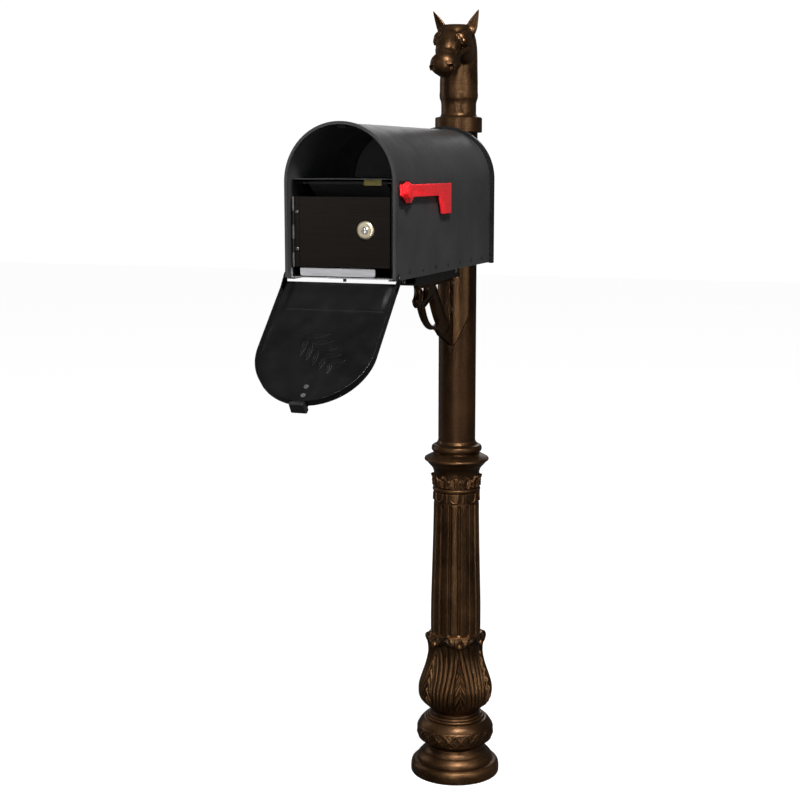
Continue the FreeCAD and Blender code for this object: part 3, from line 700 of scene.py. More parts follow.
def columnRelief(angle, height):
    pitch = 360 / column["flutes"]
    slim, end = column["fluteHalf"], column["fluteEnd"]
    groove = np.abs(around(angle, column["firstFlute"] + pitch / 2, pitch))
    ends = smoothStep(column["fluteBottom"], column["fluteBottom"] + end, height)
    ends = ends * smoothStep(column["fluteTop"], column["fluteTop"] - end, height)
    channel = smoothStep(slim + 1.4, slim - 1.6, groove)
    crown = column["crown"] * (1 - (around(angle, column["firstFlute"], pitch) / (pitch / 2)) ** 2)
    total = -column["fluteDepth"] * channel * ends + crown * ends
    # pointed drops under the bead, one over every second band
    across = np.radians(around(angle, column["firstFlute"], pitch * 2)) * column["shaftRadius"]
    beside = np.radians(around(angle, column["firstFlute"] + pitch, pitch * 2)) * column["shaftRadius"]
    reach = np.hypot(across, np.minimum(height - column["tongueHeight"], 0)) - column["tongueRadius"]
    inside = smoothStep(0, -1.0, reach)
    rim = bell(reach + 1.2, 1.1)
    dart = bell(beside, column["dartHalf"]) * smoothStep(column["fluteTop"], column["fluteTop"] + 7, height)
    collar = smoothStep(column["fluteTop"] - 1, column["fluteTop"] + 3, height)
    return total + column["tongueRim"] * rim + 0.4 * inside + (dart - 0.3 * collar) * (1 - inside)


def capitalRelief(angle, height):
    pitch = 360 / capital["leaves"]
    leafFoot = capital["leafFoot"]
    total = np.zeros_like(angle)
    for shift, leafTop, size in capital["leafRows"]:
        off = around(angle, capital["firstLeaf"] + shift * pitch, pitch)
        rise = np.clip((height - leafFoot) / (leafTop - leafFoot), 0, 1)
        wide = capital["leafHalf"] * size * np.sin(math.pi * np.clip(rise * 0.86 + 0.14, 0, 1)) ** 0.75
        inside = smoothStep(0.7, -0.7, np.abs(off) - wide) * (height > leafFoot) * (height < leafTop)
        side = 0.5 + 0.5 * np.cos(2 * math.pi * (height - 1.1 * np.abs(off)) / 5.0)
        curl = bell(height - leafTop + 4, 3.0) * bell(off, 4.2)
        total = np.maximum(total, size * (inside * (0.9 + 0.7 * bell(off, 0.9) + 0.45 * side) + 1.1 * curl))
    return capital["leafHeight"] * total + 0.5 * bell(height - capital["lowerBead"], 0.8)


def leafCurls():
    # rolled leaf tips between the vase and the column, and a bead over each lancet
    pieces = []
    pitch = vase["leafPitch"]
    for step in range(round(360 / pitch)):
        pieces.append(tipRoll(vase["lancetAngle"] + pitch * (step + 0.5)))
        pieces.append(beadAt(vase["lancetAngle"] + pitch * step))
    return pieces


def tubeFaces(rings, sides):
    # skin over rings of points that were added one ring after another, closed at both ends
    faces = []
    for i in range(rings - 1):
        for j in range(sides):
            k = (j + 1) % sides
            faces.append((i * sides + j, i * sides + k, (i + 1) * sides + k, (i + 1) * sides + j))
    faces.append(tuple(range(sides))[::-1])
    faces.append(tuple(range((rings - 1) * sides, rings * sides)))
    return faces


def tipRoll(middle):
    # a roll that is fattest at its middle and turns down at both ends
    rings, sides = leafTip["rings"], leafTip["sides"]
    points = []
    for i in range(rings + 1):
        t = i / rings * 2 - 1
        a = math.radians(middle + leafTip["halfTurn"] * t)
        size = leafTip["size"] * (1 - abs(t) ** 2.8) ** 0.5 + 0.05
        reach = leafTip["reach"] + leafTip["bow"] * (1 - t * t)
        lift = leafTip["middle"] - leafTip["drop"] * abs(t) ** 1.8
        for j in range(sides):
            b = 2 * math.pi * j / sides
            crease = 1 - leafTip["crease"] * math.exp(-((b - 1.2) / 0.35) ** 2)
            r = reach + size * 0.95 * crease * math.cos(b)
            z = lift + size * crease * math.sin(b)
            points.append((r * math.cos(a) * mm, r * math.sin(a) * mm, z * mm))
    return toMesh("tipRoll", points, tubeFaces(rings + 1, sides))


def beadAt(degrees):
    work = bmesh.new()
    a = math.radians(degrees)
    place = Matrix.Translation((
        bead["reach"] * mm * math.cos(a), bead["reach"] * mm * math.sin(a), bead["height"] * mm,
    ))
    shape = Matrix.Diagonal((bead["halfWide"] * mm, bead["halfWide"] * mm, bead["halfTall"] * mm, 1))
    bmesh.ops.create_icosphere(work, subdivisions=4, radius=1, matrix=place @ shape)
    return bmeshPiece(work, "bead")


print("post castings")
vaseBody = turnedPiece("vaseBody", vase, vaseRelief)
castings = [
    (turnedPiece("castFoot", foot), "base_foot"),
    (turnedPiece("wovenTorus", torus, torusRelief), "base_torus"),
    (joined("acanthusVase", [vaseBody] + leafCurls()), "acanthus_vase"),
    (turnedPiece("flutedColumn", column, columnRelief), "fluted_column"),
    (turnedPiece("capitalBand", capital, capitalRelief), "capital_band"),
    (turnedPiece("capRing", capRing), "cap_ring"),
]
for casting, node in castings:
    wear(casting, shadedReliefBronze, "post", "bronze_casting", node)


# shared shape tools
def arcThrough(start, middle, end, steps=14):
    # points on the arc from start through middle, without its end
    ax, ay = start
    bx, by = middle
    cx, cy = end
    d = 2 * (ax * (by - cy) + bx * (cy - ay) + cx * (ay - by))
    ux = ((ax * ax + ay * ay) * (by - cy) + (bx * bx + by * by) * (cy - ay) + (cx * cx + cy * cy) * (ay - by)) / d
    uy = ((ax * ax + ay * ay) * (cx - bx) + (bx * bx + by * by) * (ax - cx) + (cx * cx + cy * cy) * (bx - ax)) / d
    radius = math.hypot(ax - ux, ay - uy)
    first = math.atan2(ay - uy, ax - ux)
    half = math.atan2(by - uy, bx - ux)
    last = math.atan2(cy - uy, cx - ux)
    turn = 2 * math.pi
    sweep = (last - first) % turn
    if (half - first) % turn > sweep:
        sweep -= turn
    return [
        (ux + radius * math.cos(first + sweep * i / steps), uy + radius * math.sin(first + sweep * i / steps))
        for i in range(steps)
    ]


def closedLoop(corners):
    # each corner may carry the middle of an arc that leads to the next corner
    line = []
    for corner, following in zip(corners, corners[1:] + corners[:1]):
        if len(corner) == 3:
            line += arcThrough(corner[:2], corner[2], following[:2])
        else:
            line.append(corner)
    return line


def circleLoop(x, y, radius, sides=32):
    return [
        (x + radius * math.cos(a), y + radius * math.sin(a))
        for a in np.linspace(0, 2 * math.pi, sides, endpoint=False)
    ]


def insetLoop(line, amount, hole=False):
    area = sum(a[0] * b[1] - b[0] * a[1] for a, b in zip(line, line[1:] + line[:1]))
    sign = (1 if area > 0 else -1) * (-1 if hole else 1)
    moved = []
    for before, here, after in zip(line[-1:] + line[:-1], line, line[1:] + line[:1]):
        one = Vector((here[0] - before[0], here[1] - before[1])).normalized()
        two = Vector((after[0] - here[0], after[1] - here[1])).normalized()
        way = (one + two).normalized()
        slope = max(0.5, math.sqrt(max(0.0, (1 + one.dot(two)) / 2)))
        moved.append((here[0] - sign * way.y * amount / slope, here[1] + sign * way.x * amount / slope))
    return moved


# maps the drawing plane to across, along and up
sidePlane = Matrix(((0, 0, 1, 0), (1, 0, 0, 0), (0, 1, 0, 0), (0, 0, 0, 1)))


def fromCurve(name, curve, place):
    holder = bpy.data.objects.new(name, curve)
    scene.collection.objects.link(holder)
    graph = bpy.context.evaluated_depsgraph_get()
    mesh = bpy.data.meshes.new_from_object(holder.evaluated_get(graph))
    bpy.data.objects.remove(holder)
    mesh.transform(place)
    piece = bpy.data.objects.new(name, mesh)
    scene.collection.objects.link(piece)
    fixNormals(piece)
    piece.data.polygons.foreach_set("use_smooth", [True] * len(piece.data.polygons))
    return piece


def addLine(curve, line):
    spline = curve.splines.new("POLY")
    spline.points.add(len(line) - 1)
    for point, place in zip(spline.points, line):
        third = place[2] if len(place) == 3 else 0
        point.co = (place[0] * mm, place[1] * mm, third * mm, 1)
    spline.use_cyclic_u = True


def platePiece(name, loops, thickness, rounding, place):
    # a flat plate with holes and rounded edges
    curve = bpy.data.curves.new(name, "CURVE")
    curve.dimensions = "2D"
    curve.fill_mode = "BOTH"
    curve.extrude = (thickness / 2 - rounding) * mm
    curve.bevel_depth = rounding * mm
    curve.bevel_resolution = 3
    for i, loop in enumerate(loops):
        addLine(curve, insetLoop(loop, rounding, hole=i > 0))
    piece = fromCurve(name, curve, place)
    sharpEdges(piece, 30)
    return piece


def beadPiece(name, lines, radius, place):
    # a round bead along each line
    curve = bpy.data.curves.new(name, "CURVE")
    curve.dimensions = "3D"
    curve.bevel_depth = radius * mm
    curve.bevel_resolution = 3
    curve.use_fill_caps = True
    for line in lines:
        addLine(curve, line)
    return fromCurve(name, curve, place)


def roundForm(work, centre, radii, tilt=0):
    # one swollen form for the head, tilted down towards the nose
    place = Matrix.Translation(Vector(centre)) @ Matrix.Rotation(math.radians(tilt), 4, "X")
    shape = Matrix.Diagonal((*radii, 1))
    bmesh.ops.create_icosphere(work, subdivisions=4, radius=1, matrix=place @ shape)


def stickForm(work, points, radii):
    # a chain of rounded links through the points
    links = [(Vector(point), radius) for point, radius in zip(points, radii)]
    for (a, ra), (b, rb) in zip(links, links[1:]):
        steps = max(2, int((b - a).length / (min(ra, rb) * 0.5)))
        for i in range(steps + 1):
            t = i / steps
            spot = a.lerp(b, t)
            bmesh.ops.create_icosphere(
                work, subdivisions=2, radius=ra + (rb - ra) * t, matrix=Matrix.Translation(spot)
            )


def bridgeLoops(work, loops):
    # skin between rings of equal count, closed at both ends
    sides = len(loops[0])
    for lower, upper in zip(loops, loops[1:]):
        for j in range(sides):
            k = (j + 1) % sides
            work.faces.new((lower[j], lower[k], upper[k], upper[j]))
    work.faces.new(loops[0][::-1])
    work.faces.new(loops[-1])


def loftForm(work, rings, sides=64):
    # an upright body through oval rings given as height, middle, half width and half depth
    loops = []
    for height, middle, halfWide, halfDeep in rings:
        loops.append([
            work.verts.new((
                halfWide * math.cos(2 * math.pi * j / sides),
                middle + halfDeep * math.sin(2 * math.pi * j / sides),
                height,
            ))
            for j in range(sides)
        ])
    bridgeLoops(work, loops)


def remeshed(work, cell, passes, name):
    # fuses overlapping forms into one skin and softens the joins; in millimetres
    piece = bmeshPiece(work, name)
    skin = piece.modifiers.new("skin", "REMESH")
    skin.mode = "VOXEL"
    skin.voxel_size = cell
    if passes:
        soften = piece.modifiers.new("soften", "SMOOTH")
        soften.factor = 0.5
        soften.iterations = passes
    applyModifiers(piece)
    return piece


# horse head
head = {
    "neck": [
        (1418.0, 0.0, 37.6, 37.6),
        (1430.0, 0.0, 38.0, 38.0),
        (1442.0, 0.4, 37.6, 38.2),
        (1456.0, 1.4, 36.8, 38.0),
        (1470.0, 2.6, 36.2, 37.4),
        (1485.0, 3.8, 35.6, 36.6),
        (1500.0, 4.4, 34.8, 35.4),
        (1515.0, 3.4, 33.0, 33.0),
        (1528.0, 0.0, 30.5, 30.0),
        (1539.0, -5.0, 27.5, 24.0),
        (1546.0, -10.0, 23.0, 15.0),
    ],
    "softForms": [
        # centre, half sizes, tilt
        ((0, -28, 1521), (33, 35, 26), 18),
        ((0, -38, 1530), (31, 27, 17), 26),
        ((0, -66, 1500), (21.5, 43, 21), 52),
        ((0, -96, 1463), (27.0, 20.5, 23.5), 12),
        ((0, -54, 1482), (19, 34, 19), 42),
        ((0, -86, 1451), (18.5, 18, 13), 18),
        ((0, -86, 1478), (21, 20, 17), 30),
    ],
    # cheek plate and brow on both sides
    "pairForms": [
        ((20, -22, 1495), (16, 30, 28), 18),
        ((21, -50, 1514), (14.5, 17, 16), 26),
        ((15, -70, 1496), (10, 24, 13), 52),
        ((13, -60, 1478), (10, 28, 15), 46),
    ],
    # brow, upper lid, lower lid, cheek crest and nostril wing: places, then half thicknesses
    "pairRidges": [
        ([(11, -63, 1521), (20, -61.5, 1520), (28, -56.5, 1518.5), (33, -46, 1514)], [3.0, 4.8, 5.2, 3.0]),
        ([(20, -65.5, 1508.5), (26.5, -63.5, 1514), (32.5, -57.5, 1513.5), (35, -49, 1508)], [1.5, 2.0, 2.0, 1.5]),
        ([(20, -65.5, 1507.5), (26.5, -62.5, 1502), (32, -57, 1502), (34.5, -49, 1506)], [1.3, 1.8, 1.8, 1.3]),
        ([(29, -42, 1494), (23, -60, 1486), (17, -78, 1476)], [6.5, 6.0, 5.0]),
        ([(14, -113, 1462), (20.5, -109.5, 1462.5), (25, -102.5, 1458.5), (24, -101.5, 1452)], [2.0, 2.6, 2.6, 1.8]),
    ],
    # flat poll between the ears, then the crest of the neck
    "middleRidges": [
        ([(-20, -19, 1538.5), (0, -19, 1540), (20, -19, 1538.5)], [7.5, 8.0, 7.5]),
        ([(0, 16, 1538), (0, 28, 1527), (0, 35.5, 1510), (0, 37, 1485), (0, 37, 1455), (0, 36, 1432)],
         [5, 5, 4.6, 4.4, 4, 2]),
    ],
    # corner of the eye, mouth, beside the nose bone, under the cheek crest: line, depth, half width
    "hollows": [
        ([(18, -68, 1508), (21, -66, 1507)], 1.6, 2.2),
        ([(0, -117, 1447.5), (12, -114, 1447), (21, -105, 1446.5), (25.5, -92, 1448.5), (24, -80, 1453)], 2.3, 1.25),
        ([(20, -76, 1496), (21, -92, 1477)], 1.8, 4.5),
        ([(28, -52, 1480), (23, -72, 1466)], 1.6, 4.0),
    ],
    "maneHeight": 0.9,
    "manePitch": 0.62,
    "seat": 1423.8,
    "pollTop": 1541.5,
    "pollHalf": 27.0,
    "cellCoarse": 1.7,
    "cellFine": 0.85,
}
eye = {"centre": (28.0, -57.5, 1508.5), "radii": (6.66, 7.4, 6.364), "socket": 9.6, "socketDepth": 1.2}
nostril = {"centre": (20.5, -109.5, 1456.0), "depth": 5.0, "half": 3.9}
ear = {
    "foot": (28.0, -15.0, 1533.0),
    "tip": (48.0, -22.5, 1572.5),
    "halfWide": 13.5,
    "halfThick": 7.0,
    "hollow": 0.62,
    "levels": 34,
    "sides": 48,
}


def earForm(work, side):
    # a pointed shell whose hollow faces outwards and forwards
    foot, tip = Vector(ear["foot"]), Vector(ear["tip"])
    foot.x *= side
    tip.x *= side
    lean = (tip - foot).normalized()
    outward = Vector((side * 0.34, -0.94, 0))
    outward = (outward - lean * outward.dot(lean)).normalized()
    across = lean.cross(outward)
    levels, sides = ear["levels"], ear["sides"]
    loops = []
    for i in range(levels + 1):
        t = -0.12 + 1.12 * i / levels
        size = (1 - max(t, 0)) ** 0.85 * (1 - 0.12 * (1 - min(1, max(0, t) / 0.2)))
        size = max(size, 0.035)
        ring = []
        for j in range(sides):
            a = 2 * math.pi * j / sides
            facing = math.cos(a)
            scoop = ear["hollow"] * math.exp(-((min(a, 2 * math.pi - a) / 0.95) ** 2)) * min(1, max(0, t) * 6)
            r = 1 - scoop * (1.25 if facing > 0 else 1)
            spot = foot + lean * (t * (tip - foot).length)
            spot = spot + outward * (ear["halfThick"] * size * facing * r)
            spot = spot + across * (ear["halfWide"] * size * math.sin(a))
            ring.append(work.verts.new(spot))
        loops.append(ring)
    bridgeLoops(work, loops)


def nearLine(points, line):
    # distance of every point to a chain of straight spans
    best = np.full(len(points), 1e9)
    for a, b in zip(line, line[1:]):
        a, b = np.array(a, float), np.array(b, float)
        t = np.clip(((points - a) @ (b - a)) / ((b - a) @ (b - a)), 0, 1)
        best = np.minimum(best, np.linalg.norm(points - (a + t[:, None] * (b - a)), axis=1))
    return best


def horseHead():
    work = bmesh.new()
    loftForm(work, head["neck"])
    for centre, radii, tilt in head["softForms"]:
        roundForm(work, centre, radii, tilt)
    for centre, radii, tilt in head["pairForms"]:
        for side in (-1, 1):
            roundForm(work, (side * centre[0], centre[1], centre[2]), radii, tilt)
    base = remeshed(work, head["cellCoarse"], 12, "headBase")

    work = bmesh.new()
    work.from_mesh(base.data)
    bpy.data.objects.remove(base)
    for side in (-1, 1):
        ex, ey, ez = eye["centre"]
        roundForm(work, (side * ex, ey, ez), eye["radii"])
        for line, radii in head["pairRidges"]:
            stickForm(work, [(side * x, y, z) for x, y, z in line], radii)
        earForm(work, side)
    for line, radii in head["middleRidges"]:
        stickForm(work, line, radii)
    piece = remeshed(work, head["cellFine"], 9, "horseHead")
    mesh = piece.data
    count = len(mesh.vertices)
    points = np.empty(count * 3)
    mesh.vertices.foreach_get("co", points)
    points = points.reshape(-1, 3)
    normals = np.empty(count * 3)
    mesh.vertex_normals.foreach_get("vector", normals)
    normals = normals.reshape(-1, 3)
    # both sides are cut alike
    halfHead = points.copy()
    halfHead[:, 0] = np.abs(halfHead[:, 0])
    fromEye = np.linalg.norm(halfHead - np.array(eye["centre"]), axis=1)
    push = -eye["socketDepth"] * bell(fromEye - eye["socket"], 1.5) * (points[:, 2] < 1502)
    for line, depth, half in head["hollows"]:
        push -= depth * bell(nearLine(halfHead, line), half)
    slot = (halfHead - np.array(nostril["centre"])) * np.array([1, 1, 0.8])
    push -= nostril["depth"] * bell(np.linalg.norm(slot, axis=1), nostril["half"])
    # locks of the mane
    back = smoothStep(26, 34, points[:, 1]) * smoothStep(13, 4, halfHead[:, 0])
    wave = np.sin((points[:, 2] + 0.9 * halfHead[:, 0]) * head["manePitch"])
    push += back * head["maneHeight"] * wave
    points = points + normals * push[:, None]
    # the poll is flat between the ears
    flat = smoothStep(head["pollHalf"], head["pollHalf"] - 9, halfHead[:, 0])
    points[:, 2] -= flat * 0.75 * np.maximum(0, points[:, 2] - head["pollTop"])
    # flat seat on the collar, slightly below its rim so that the joint is closed
    points[:, 2] = np.maximum(points[:, 2], head["seat"])
    mesh.vertices.foreach_set("co", (points * mm).ravel())
    mesh.update()
    mesh.polygons.foreach_set("use_smooth", [True] * len(mesh.polygons))
    return piece


print("horse head")
headPiece = horseHead()
wear(headPiece, shadedReliefBronze, "post", "bronze_alloy", "horse_head")


# bracket
print("bracket")
brace = {
    "top": 1052.0,
    "rear": -44.3,
    "web": 7.6,
    "bead": 2.3,
    "beadReach": 3.7,
    "edge": 1.2,
    "veinLift": 3.6,
    "boltHeights": (985, 1038),
    "headRoom": 9,
    "notchDepth": 6,
}
top = brace["top"]
rear = brace["rear"]
notches = []
for bolt in brace["boltHeights"]:
    deep = rear - brace["notchDepth"]
    under, over = bolt - brace["headRoom"], bolt + brace["headRoom"]
    notches += [(rear, under), (deep, under), (deep, over), (rear, over)]
braceOuter = closedLoop([
    (rear, top),
    (-262, top, (-249, top - 14)),
    (-261, top - 30, (-252, top - 44)),
    (-234, top - 46, (-196, top - 84)),
    (-138, top - 97),
    (-112, top - 113, (-76, top - 128)),
    (rear, top - 141),
] + notches)
braceHoles = [
    closedLoop([
        (-214, top - 48, (-172, top - 86)),
        (-128, top - 86, (-150, top - 62)),
        (-168, top - 32, (-190, top - 40)),
    ]),
    closedLoop([
        (-236, top - 10),
        (-196, top - 10, (-204, top - 26)),
        (-228, top - 32, (-226, top - 20)),
    ]),
    closedLoop([
        (-150, top - 10),
        (-62, top - 10),
        (-62, top - 100, (-96, top - 66)),
    ]),
]


def scrollBrace():
    web = platePiece("braceWeb", [braceOuter] + braceHoles, brace["web"], brace["edge"], sidePlane)
    lines = []
    for side in (-1, 1):
        for i, loop in enumerate([braceOuter] + braceHoles):
            inner = insetLoop(loop, brace["bead"], hole=i > 0)
            lines.append([(a, b, side * brace["beadReach"]) for a, b in inner])
        # a vein down the tail
        tail = arcThrough((-66, top - 102), (-84, top - 112), (-106, top - 106), 12)
        lines.append([(a, b, side * brace["veinLift"]) for a, b in tail])
    beads = beadPiece("braceBeads", lines, brace["bead"], sidePlane)
    return joined("scrollBrace", [web, beads])


bracePiece = scrollBrace()
wear(bracePiece, bronze, "post", "bronze_alloy", "scroll_brace")


# mailbox door
print("door")
door = {
    "half": 101.0,
    "foot": 4.0,
    "spring": 154.0,
    "face": -11.2,
    "gauge": 1.6,
    "rimTop": 3.0,
    "crease": 62.0,
    "swell": 3.2,
    "open": 135.0,
    "pivot": (0.0, -618.0, 1090.0),
    "columns": 236,
    "rows": 300,
    "straightShare": 0.55,
    "creaseHeight": 1.5,
    "rimSteps": 14,
    "archSteps": 72,
    # rolled lip of the rim, and the pivot ears
    "lip": 0.8,
    "ear": [(-11.2, 4.5), (-11.2, 26), (3, 26), (7, 0, (0, -7)), (-7, 0, (-9, 2.2))],
    "earHole": 2.57,
    "earRounding": 0.3,
}
doorPlace = Matrix.Translation(Vector(door["pivot"]) * mm) @ Matrix.Rotation(math.radians(door["open"]), 4, "X")
sprig = {
    "foot": (-36.0, 110.0),
    "tip": (40.0, 176.0),
    "height": 0.6,
    "line": 0.85,
    "stemBow": 4,
    "leafSpots": (0.12, 0.3, 0.48, 0.66, 0.84),
    "bow": 4.2,
}


def leafLines():
    # stem with paired leaves, as chains of points across and up the door
    foot, tip = Vector(sprig["foot"]), Vector(sprig["tip"])
    way = (tip - foot).normalized()
    side = Vector((-way.y, way.x))
    length = (tip - foot).length

    def stemAt(t):
        return foot + way * length * t + side * sprig["stemBow"] * math.sin(math.pi * t)

    chains = [[tuple(stemAt(t)) for t in np.linspace(0, 1, 12)]]
    for t in sprig["leafSpots"]:
        root = stemAt(t)
        for hand in (-1, 1):
            reach = 40 - 20 * t
            out = (way * 0.62 + side * hand * 0.8).normalized()
            swell = (way * 0.8 - side * hand * 0.3) * sprig["bow"]
            for bow in (-1, 1):
                chains.append([
                    tuple(root + out * reach * s + swell * bow * math.sin(math.pi * s)) for s in np.linspace(0, 1, 9)
                ])
            chains.append([tuple(root + out * reach * s) for s in np.linspace(0, 0.7, 4)])
    return chains


def flatDistance(x, z, chain):
    best = np.full(x.shape, 1e9)
    for a, b in zip(chain, chain[1:]):
        dx, dz = b[0] - a[0], b[1] - a[1]
        t = np.clip(((x - a[0]) * dx + (z - a[1]) * dz) / (dx * dx + dz * dz), 0, 1)
        best = np.minimum(best, np.hypot(x - a[0] - t * dx, z - a[1] - t * dz))
    return best


def doorPiece():
    inner = door["half"] - door["gauge"] + 0.2
    straight = door["spring"]
    # rows go up the straight sides, then round the arch
    low = int(door["rows"] * door["straightShare"])
    rows = [(inner, z) for z in np.linspace(door["foot"], straight, low, endpoint=False)]
    for t in np.linspace(0, math.pi / 2 * 0.992, door["rows"] - low):
        rows.append((inner * math.cos(t), straight + inner * math.sin(t)))
    across = np.linspace(-1, 1, door["columns"])[None, :]
    rows = np.array(rows)
    x = rows[:, :1] * across
    z = rows[:, 1:] + 0 * x
    relief = np.zeros_like(x)
    near = (np.abs(x) < 60) & (z > 95) & (z < 195)
    lines = np.full(x.shape, 1e9)
    for chain in leafLines():
        lines[near] = np.minimum(lines[near], flatDistance(x[near], z[near], chain))
    relief += sprig["height"] * bell(lines, sprig["line"])
    # the strip by the hinge swells a little and ends in a sharp crease
    t = np.clip((z - door["foot"]) / (door["crease"] - door["foot"]), 0, 1)
    # the swell ends short of the bead round the mouth, so the door can shut
    clearOfBead = smoothStep(0.915, 0.80, np.abs(across))
    relief += door["swell"] * np.sin(math.pi * t ** 0.8) * (t < 1) * clearOfBead
    past = z - door["crease"]
    relief += door["creaseHeight"] * smoothStep(-1.2, -0.2, past) * bell(past, 2.2) * clearOfBead
    front = door["face"] + relief
    back = front + door["gauge"]
    n, m = x.shape
    points = np.concatenate((
        np.stack((x, back, z), -1).reshape(-1, 3),
        np.stack((x, front, z), -1).reshape(-1, 3),
    )) * mm
    faces = []
    shift = n * m
    for i in range(n - 1):
        row = i * m
        for j in range(m - 1):
            a, b, c, e = row + j, row + j + 1, row + m + j + 1, row + m + j
            faces.append((a, e, c, b))
            faces.append((shift + a, shift + b, shift + c, shift + e))
    edge = [j for j in range(m)] + [i * m + m - 1 for i in range(1, n)]
    edge += [(n - 1) * m + j for j in range(m - 2, -1, -1)] + [i * m for i in range(n - 2, 0, -1)]
    for a, b in zip(edge, edge[1:] + edge[:1]):
        faces.append((a, b, shift + b, shift + a))
    panel = toMesh("doorPanelSheet", points, faces)
    fixNormals(panel)
    sharpEdges(panel, 50)
    panel.data.transform(doorPlace)
    # turned-up rim with a rolled lip
    outer = door["half"]
    wall = door["gauge"]
    lip = door["lip"]
    section = [
        (0.8, door["face"] + 0.0), (0.25, door["face"] + 0.25), (0, door["face"] + 0.8), (0, door["rimTop"] - lip),
    ]
    for i in range(1, 10):
        a = math.pi * i / 10
        section.append((lip * (1 - math.cos(a)), door["rimTop"] - lip + lip * math.sin(a)))
    section += [
        (wall, door["rimTop"] - lip), (wall, door["face"] + wall), (wall, door["face"] + 0.3), (1.3, door["face"]),
    ]
    stations = []
    for z in np.linspace(door["foot"], straight, door["rimSteps"], endpoint=False):
        stations.append(((-outer, z), (1, 0)))
    for a in np.linspace(math.pi, 0, door["archSteps"]):
        stations.append(((outer * math.cos(a), straight + outer * math.sin(a)), (-math.cos(a), -math.sin(a))))
    for z in np.linspace(straight, door["foot"], door["rimSteps"])[1:]:
        stations.append(((outer, z), (-1, 0)))
    rimPoints = []
    for (px, pz), (nx, nz) in stations:
        for inward, height in section:
            rimPoints.append(((px + nx * inward) * mm, height * mm, (pz + nz * inward) * mm))
    rim = toMesh("doorRim", rimPoints, tubeFaces(len(stations), len(section)))
    fixNormals(rim)
    sharpEdges(rim, 40)
    rim.data.transform(doorPlace)
    pieces = [panel, rim]
    tab = closedLoop(door["ear"])
    hole = circleLoop(0, 0, door["earHole"], 28)
    for side in (-1, 1):
        middle = Matrix.Translation((side * (door["half"] - door["gauge"] / 2) * mm, 0, 0))
        place = doorPlace @ middle @ sidePlane
        pieces.append(platePiece("doorEar", [tab, hole], door["gauge"], door["earRounding"], place))
    return joined("mailboxDoor", pieces)


doorMesh = doorPiece()
# the door takes the darker copy of the black sheet, painted shade
wear(doorMesh, shadedBlackSheet, "mailbox_door", "black_sheet", "door_panel")


# flag
print("flag")
flag = {
    "pivot": (-588.0, 1230.0),
    "face": 98.8,
    "gauge": 3.0,
    "hubRadius": 15.5,
    "hubHole": 8.6,
    "hubFace": 106.4,
    "capGauge": 2.8,
    "boltHole": 3.6,
    "edge": 0.9,
    "capEdge": 1.3,
    "capSize": 0.86,
    "hubGap": 0.5,
    "capSink": 0.3,
}
flagOutline = [
    (-24, 10), (235, 10), (235, -43), (184, -43), (168, -11), (36, -11), (26, -20), (4, -20), (-6, -12), (-24, -8),
]


def softened(corners, radius=2.2):
    # rounds every corner of a straight-sided outline
    line = []
    for before, here, after in zip(corners[-1:] + corners[:-1], corners, corners[1:] + corners[:1]):
        here, before, after = Vector(here), Vector(before), Vector(after)
        one = here + (before - here).normalized() * radius
        two = here + (after - here).normalized() * radius
        for i in range(6):
            t = i / 5
            line.append(tuple(one * (1 - t) ** 2 + here * 2 * t * (1 - t) + two * t * t))
    return line


def flagPiece():
    y, z = flag["pivot"]
    outline = [(y + a, z + b) for a, b in softened(flagOutline)]
    ring = circleLoop(y, z, flag["boltHole"])
    middle = Matrix.Translation(((flag["face"] + flag["gauge"] / 2) * mm, 0, 0))
    blade = platePiece("flagBlade", [outline, ring], flag["gauge"], flag["edge"], middle @ sidePlane)
    # a six-sided boss round the pivot bolt
    sides = [
        (y + flag["hubRadius"] * math.cos(a), z + flag["hubRadius"] * math.sin(a))
        for a in np.radians(np.arange(15, 375, 60))
    ]
    boss = circleLoop(y, z, flag["hubHole"])
    height = flag["hubFace"] - flag["face"] - flag["hubGap"]
    up = Matrix.Translation(((flag["face"] + flag["hubGap"] + height / 2) * mm, 0, 0))
    hub = platePiece("flagHub", [softened(sides, 2.0), boss], height, flag["edge"], up @ sidePlane)
    over = Matrix.Translation(((flag["hubFace"] + flag["capGauge"] / 2 - flag["capSink"]) * mm, 0, 0))
    size = flag["capSize"]
    lid = [(y + (a - y) * size, z + (b - z) * size) for a, b in softened(sides, 3.0)]
    cap = platePiece("flagCap", [lid], flag["capGauge"], flag["capEdge"], over @ sidePlane)
    return joined("signalFlag", [blade, hub, cap])


flagMesh = flagPiece()
wear(flagMesh, redPlastic, "flag_arm", "red_plastic", "flag")


# stage, lights and camera
print("stage")
view = {
    "lens": 67.5,
    "place": (0.935, -2.895, 1.272),
    "turn": 20.1,
    "down": 8.92,
}
# name, place, target, size and power
lamps = [
    ("keyLight", (1.45, -2.6, 3.9), (0, -0.2, 0.9), (0.45, 0.45), 225),
    ("frontStrip", (0.75, -3.3, 0.95), (0, 0, 0.85), (0.22, 2.4), 30),
    ("frontFill", (-1.6, -3.4, 1.9), (0, 0, 0.8), (0.9, 1.8), 8),
    ("sidePanel", (3.4, -1.9, 1.6), (0, -0.2, 0.9), (1.4, 1.8), 32),
    ("leftStrip", (-3.0, 0.4, 1.4), (0, 0, 0.8), (0.4, 2.4), 9),
    ("backFill", (-0.9, 3.4, 2.3), (0, 0, 0.8), (1.6, 1.8), 22),
]
studio = {
    "half": 14,
    "tall": 12,
    "floorGlow": 0.95,
    "floorTone": 0.3,
    "wallGlow": 0.97,
    "wallTone": 0.5,
    "worldGlow": 0.07,
}
camera = bpy.data.objects.new("camera", bpy.data.cameras.new("camera"))
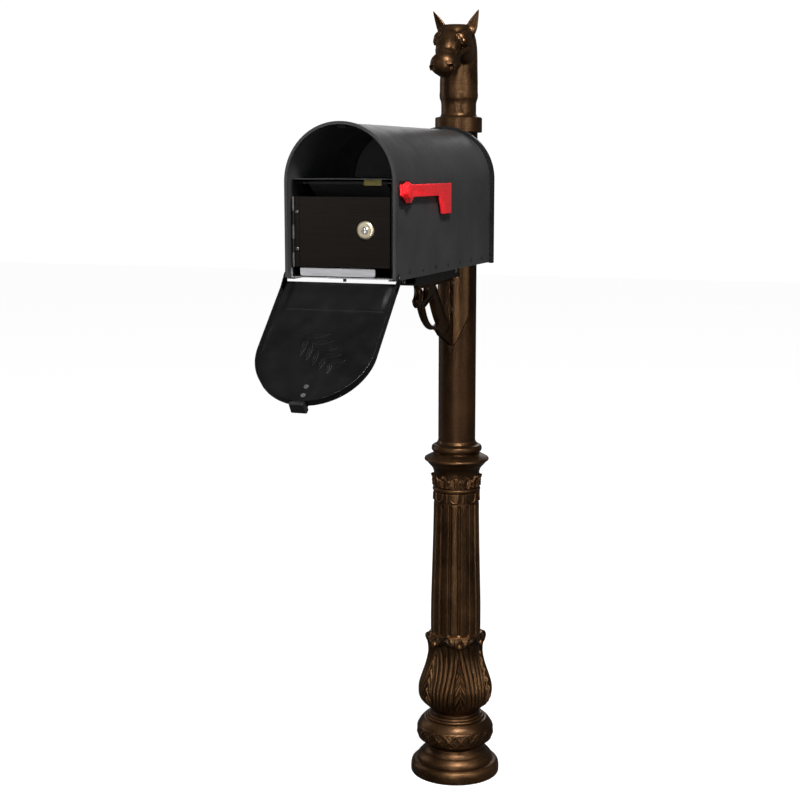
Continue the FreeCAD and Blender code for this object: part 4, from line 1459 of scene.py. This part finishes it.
scene.collection.objects.link(camera)
camera.data.lens = view["lens"]
camera.data.sensor_width = 36
camera.location = view["place"]
camera.rotation_euler = (math.radians(90 - view["down"]), 0, math.radians(view["turn"]))
scene.camera = camera


def softLight(name, place, target, size, power):
    lamp = bpy.data.lights.new(name, "AREA")
    lamp.shape = "RECTANGLE"
    lamp.size, lamp.size_y = size
    lamp.energy = power
    holder = bpy.data.objects.new(name, lamp)
    holder.location = place
    holder.rotation_euler = (Vector(target) - Vector(place)).to_track_quat("-Z", "Y").to_euler()
    scene.collection.objects.link(holder)


for lampRow in lamps:
    softLight(*lampRow)


def backdropFinish(name, glow, albedo):
    finish, tree, shader = startFinish(name)
    shader.inputs["Base Color"].default_value = (albedo, albedo, albedo, 1)
    shader.inputs["Roughness"].default_value = 1.0
    shader.inputs["Specular IOR Level"].default_value = 0.0
    shader.inputs["Emission Color"].default_value = (1, 1, 1, 1)
    shader.inputs["Emission Strength"].default_value = glow
    return finish


def backdropPiece(name, corners, finish):
    mesh = bpy.data.meshes.new(name)
    mesh.from_pydata(corners, [], [(0, 1, 2, 3)])
    piece = bpy.data.objects.new(name, mesh)
    scene.collection.objects.link(piece)
    mesh.materials.append(finish)
    piece.visible_glossy = False
    piece.visible_diffuse = False


half, tall = studio["half"], studio["tall"]
corners = [(-half, half), (half, half), (half, -half), (-half, -half)]
backdropPiece("floor", [(x, y, 0) for x, y in corners[::-1]],
              backdropFinish("paleFloor", studio["floorGlow"], studio["floorTone"]))
paleWall = backdropFinish("paleWall", studio["wallGlow"], studio["wallTone"])
for number, (a, b) in enumerate(zip(corners, corners[1:] + corners[:1]), 1):
    backdropPiece(f"wall{number}", [(*a, 0), (*b, 0), (*b, tall), (*a, tall)], paleWall)

world = bpy.data.worlds.new("studio")
world.use_nodes = True
world.node_tree.nodes["Background"].inputs["Color"].default_value = (1, 1, 1, 1)
world.node_tree.nodes["Background"].inputs["Strength"].default_value = studio["worldGlow"]
scene.world = world
scene.view_settings.view_transform = "Standard"
